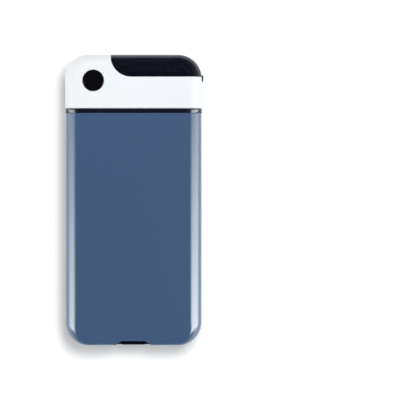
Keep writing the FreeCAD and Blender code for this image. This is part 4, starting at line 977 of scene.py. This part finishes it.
tree, given = start_tree("gull_wing_leg", ("Reach", "Drop", "Width", "Thickness"))
fall = add(tree, "ShaderNodeMath", TIMES, {0: given["Drop"], 1: -1.0}).outputs[0]
handles = [add(tree, "ShaderNodeMath", TIMES, {0: given["Reach"], 1: share}).outputs[0]
           for share in HANDLES]
above = add(tree, "ShaderNodeCombineXYZ", None, {"X": handles[0]})
under = add(tree, "ShaderNodeCombineXYZ", None, {"X": handles[1], "Z": fall})
foot = add(tree, "ShaderNodeCombineXYZ", None, {"X": given["Reach"], "Z": fall})
bend = add(tree, "GeometryNodeCurvePrimitiveBezierSegment", None,
           {"Resolution": 10, "Start": (0.0, 0.0, 0.0), "Start Handle": above.outputs[0],
            "End Handle": under.outputs[0], "End": foot.outputs[0]})
level = add(tree, "GeometryNodeSetCurveNormal", {"mode": "Z_UP"}, {"Curve": bend.outputs[0]})
strip = add(tree, "GeometryNodeCurvePrimitiveQuadrilateral", None,
            {"Width": given["Width"], "Height": given["Thickness"]})
leg = add(tree, "GeometryNodeCurveToMesh", None,
          {"Curve": level.outputs[0], "Profile Curve": strip.outputs[0], "Fill Caps": True})
side = add(tree, "GeometryNodeInputNamedAttribute", NUMBERS, {"Name": "turn"})
turn = add(tree, "ShaderNodeCombineXYZ", None, {"Z": side.outputs[0]})
end_tree(tree, leg.outputs[0], given, turn.outputs[0])

# %% Chip legs
LEG_REACH = 0.8 * MM
LEG_SINK = 0.15 * MM    # into the chip
LEG_WIDTH = 0.34 * MM
LEG_THICKNESS = 0.12 * MM
LEG_HEIGHT = 0.45 * MM  # over the board, where a leg leaves the chip
LEG_ROWS = ((0.8 * MM, 4), (0.9 * MM, 2))  # pitch and number of sides, largest chip first


def ends(points):
    """Lowest and highest corner of some points."""
    return (Vector([min(point[axis] for point in points) for axis in range(3)]),
            Vector([max(point[axis] for point in points) for axis in range(3)]))


board_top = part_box("main_board")[1].z
chips = [ends(points) for points in solids_of("board_chips")]
chips.sort(key=lambda chip: chip[0].x - chip[1].x)
roots, turns = [], []
for (low, high), (pitch, ways) in zip(chips, LEG_ROWS):
    middle = (low + high) / 2
    half = (high.x - low.x) / 2 - LEG_SINK
    each = int((2 * half - pitch / 2) / pitch)
    for way in range(ways):
        angle = way * 2 * math.pi / ways
        for place_in_row in range(each):
            along = (place_in_row - (each - 1) / 2) * pitch
            roots.append((middle.x + half * math.cos(angle) - along * math.sin(angle),
                          middle.y + half * math.sin(angle) + along * math.cos(angle),
                          board_top + LEG_HEIGHT))
            turns.append(angle)
print(len(roots), "legs on", len(LEG_ROWS), "of the", len(chips), "chips")

# Tinned copper: bright and slightly grey, with hardly any lines.
tinned = metal("tinned_copper", "#c4c6c8", 0.35, EVEN, 0.2 * MM, 0.002 * MM)
leg_values = {"Reach": LEG_REACH + LEG_SINK, "Drop": LEG_HEIGHT - LEG_THICKNESS / 2,
              "Width": LEG_WIDTH, "Thickness": LEG_THICKNESS, "Material": tinned}
settled("chip_legs", [grown(tree, roots, leg_values, turns)], "case", "plated_metal")

# %% [markdown]
# ## The foam pad
#
# Under the battery lies a strip of open-cell foam tape. It is squeezed flat
# between the battery and the shell, so its faces are flat and only its edges
# bulge, which a short profile turned round the edge gives. Cloth simulation has
# nothing to do on a pad 0.4 mm thick.

# %% Foam pad
PAD_STEPS = 8
PAD_CORNER = 1.5 * MM
CORNER_STEPS = 4

low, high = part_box("battery_pad")
corners = ((high.x, high.y, 0), (low.x, high.y, 1), (low.x, low.y, 2), (high.x, low.y, 3))
pad_mesh = bmesh.new()
rise = (high.z - low.z) / 2
rings = []
for step in range(PAD_STEPS + 1):
    angle = math.pi * (step / PAD_STEPS - 0.5)
    radius = PAD_CORNER - rise * (1 - math.cos(angle))
    z = (low.z + high.z) / 2 + rise * math.sin(angle)
    ring = []
    for corner_x, corner_y, quarter in corners:
        centre_x = corner_x - math.copysign(PAD_CORNER, corner_x - (low.x + high.x) / 2)
        centre_y = corner_y - math.copysign(PAD_CORNER, corner_y - (low.y + high.y) / 2)
        for part in range(CORNER_STEPS + 1):
            way = (quarter + part / CORNER_STEPS) * math.pi / 2
            ring.append(pad_mesh.verts.new((centre_x + radius * math.cos(way),
                                            centre_y + radius * math.sin(way), z)))
    rings.append(ring)
for lower, upper in zip(rings, rings[1:]):
    for one in range(len(lower)):
        other = (one + 1) % len(lower)
        pad_mesh.faces.new((lower[one], lower[other], upper[other], upper[one]))
pad_mesh.faces.new(rings[-1])
pad_mesh.faces.new(list(reversed(rings[0])))
pad_data = bpy.data.meshes.new("foam_pad")
pad_mesh.to_mesh(pad_data)
pad_mesh.free()

# Open-cell foam: matt, dark, with cells of half a millimetre.
pad_data.materials.append(moulded("open_cell_foam", "#2b2b2e", "#3b3b40", 0.9, 0.5 * MM,
                                  0.12 * MM))
foam_pad = settled("foam_pad", [pad_data], "case", "foam", "battery_pad")
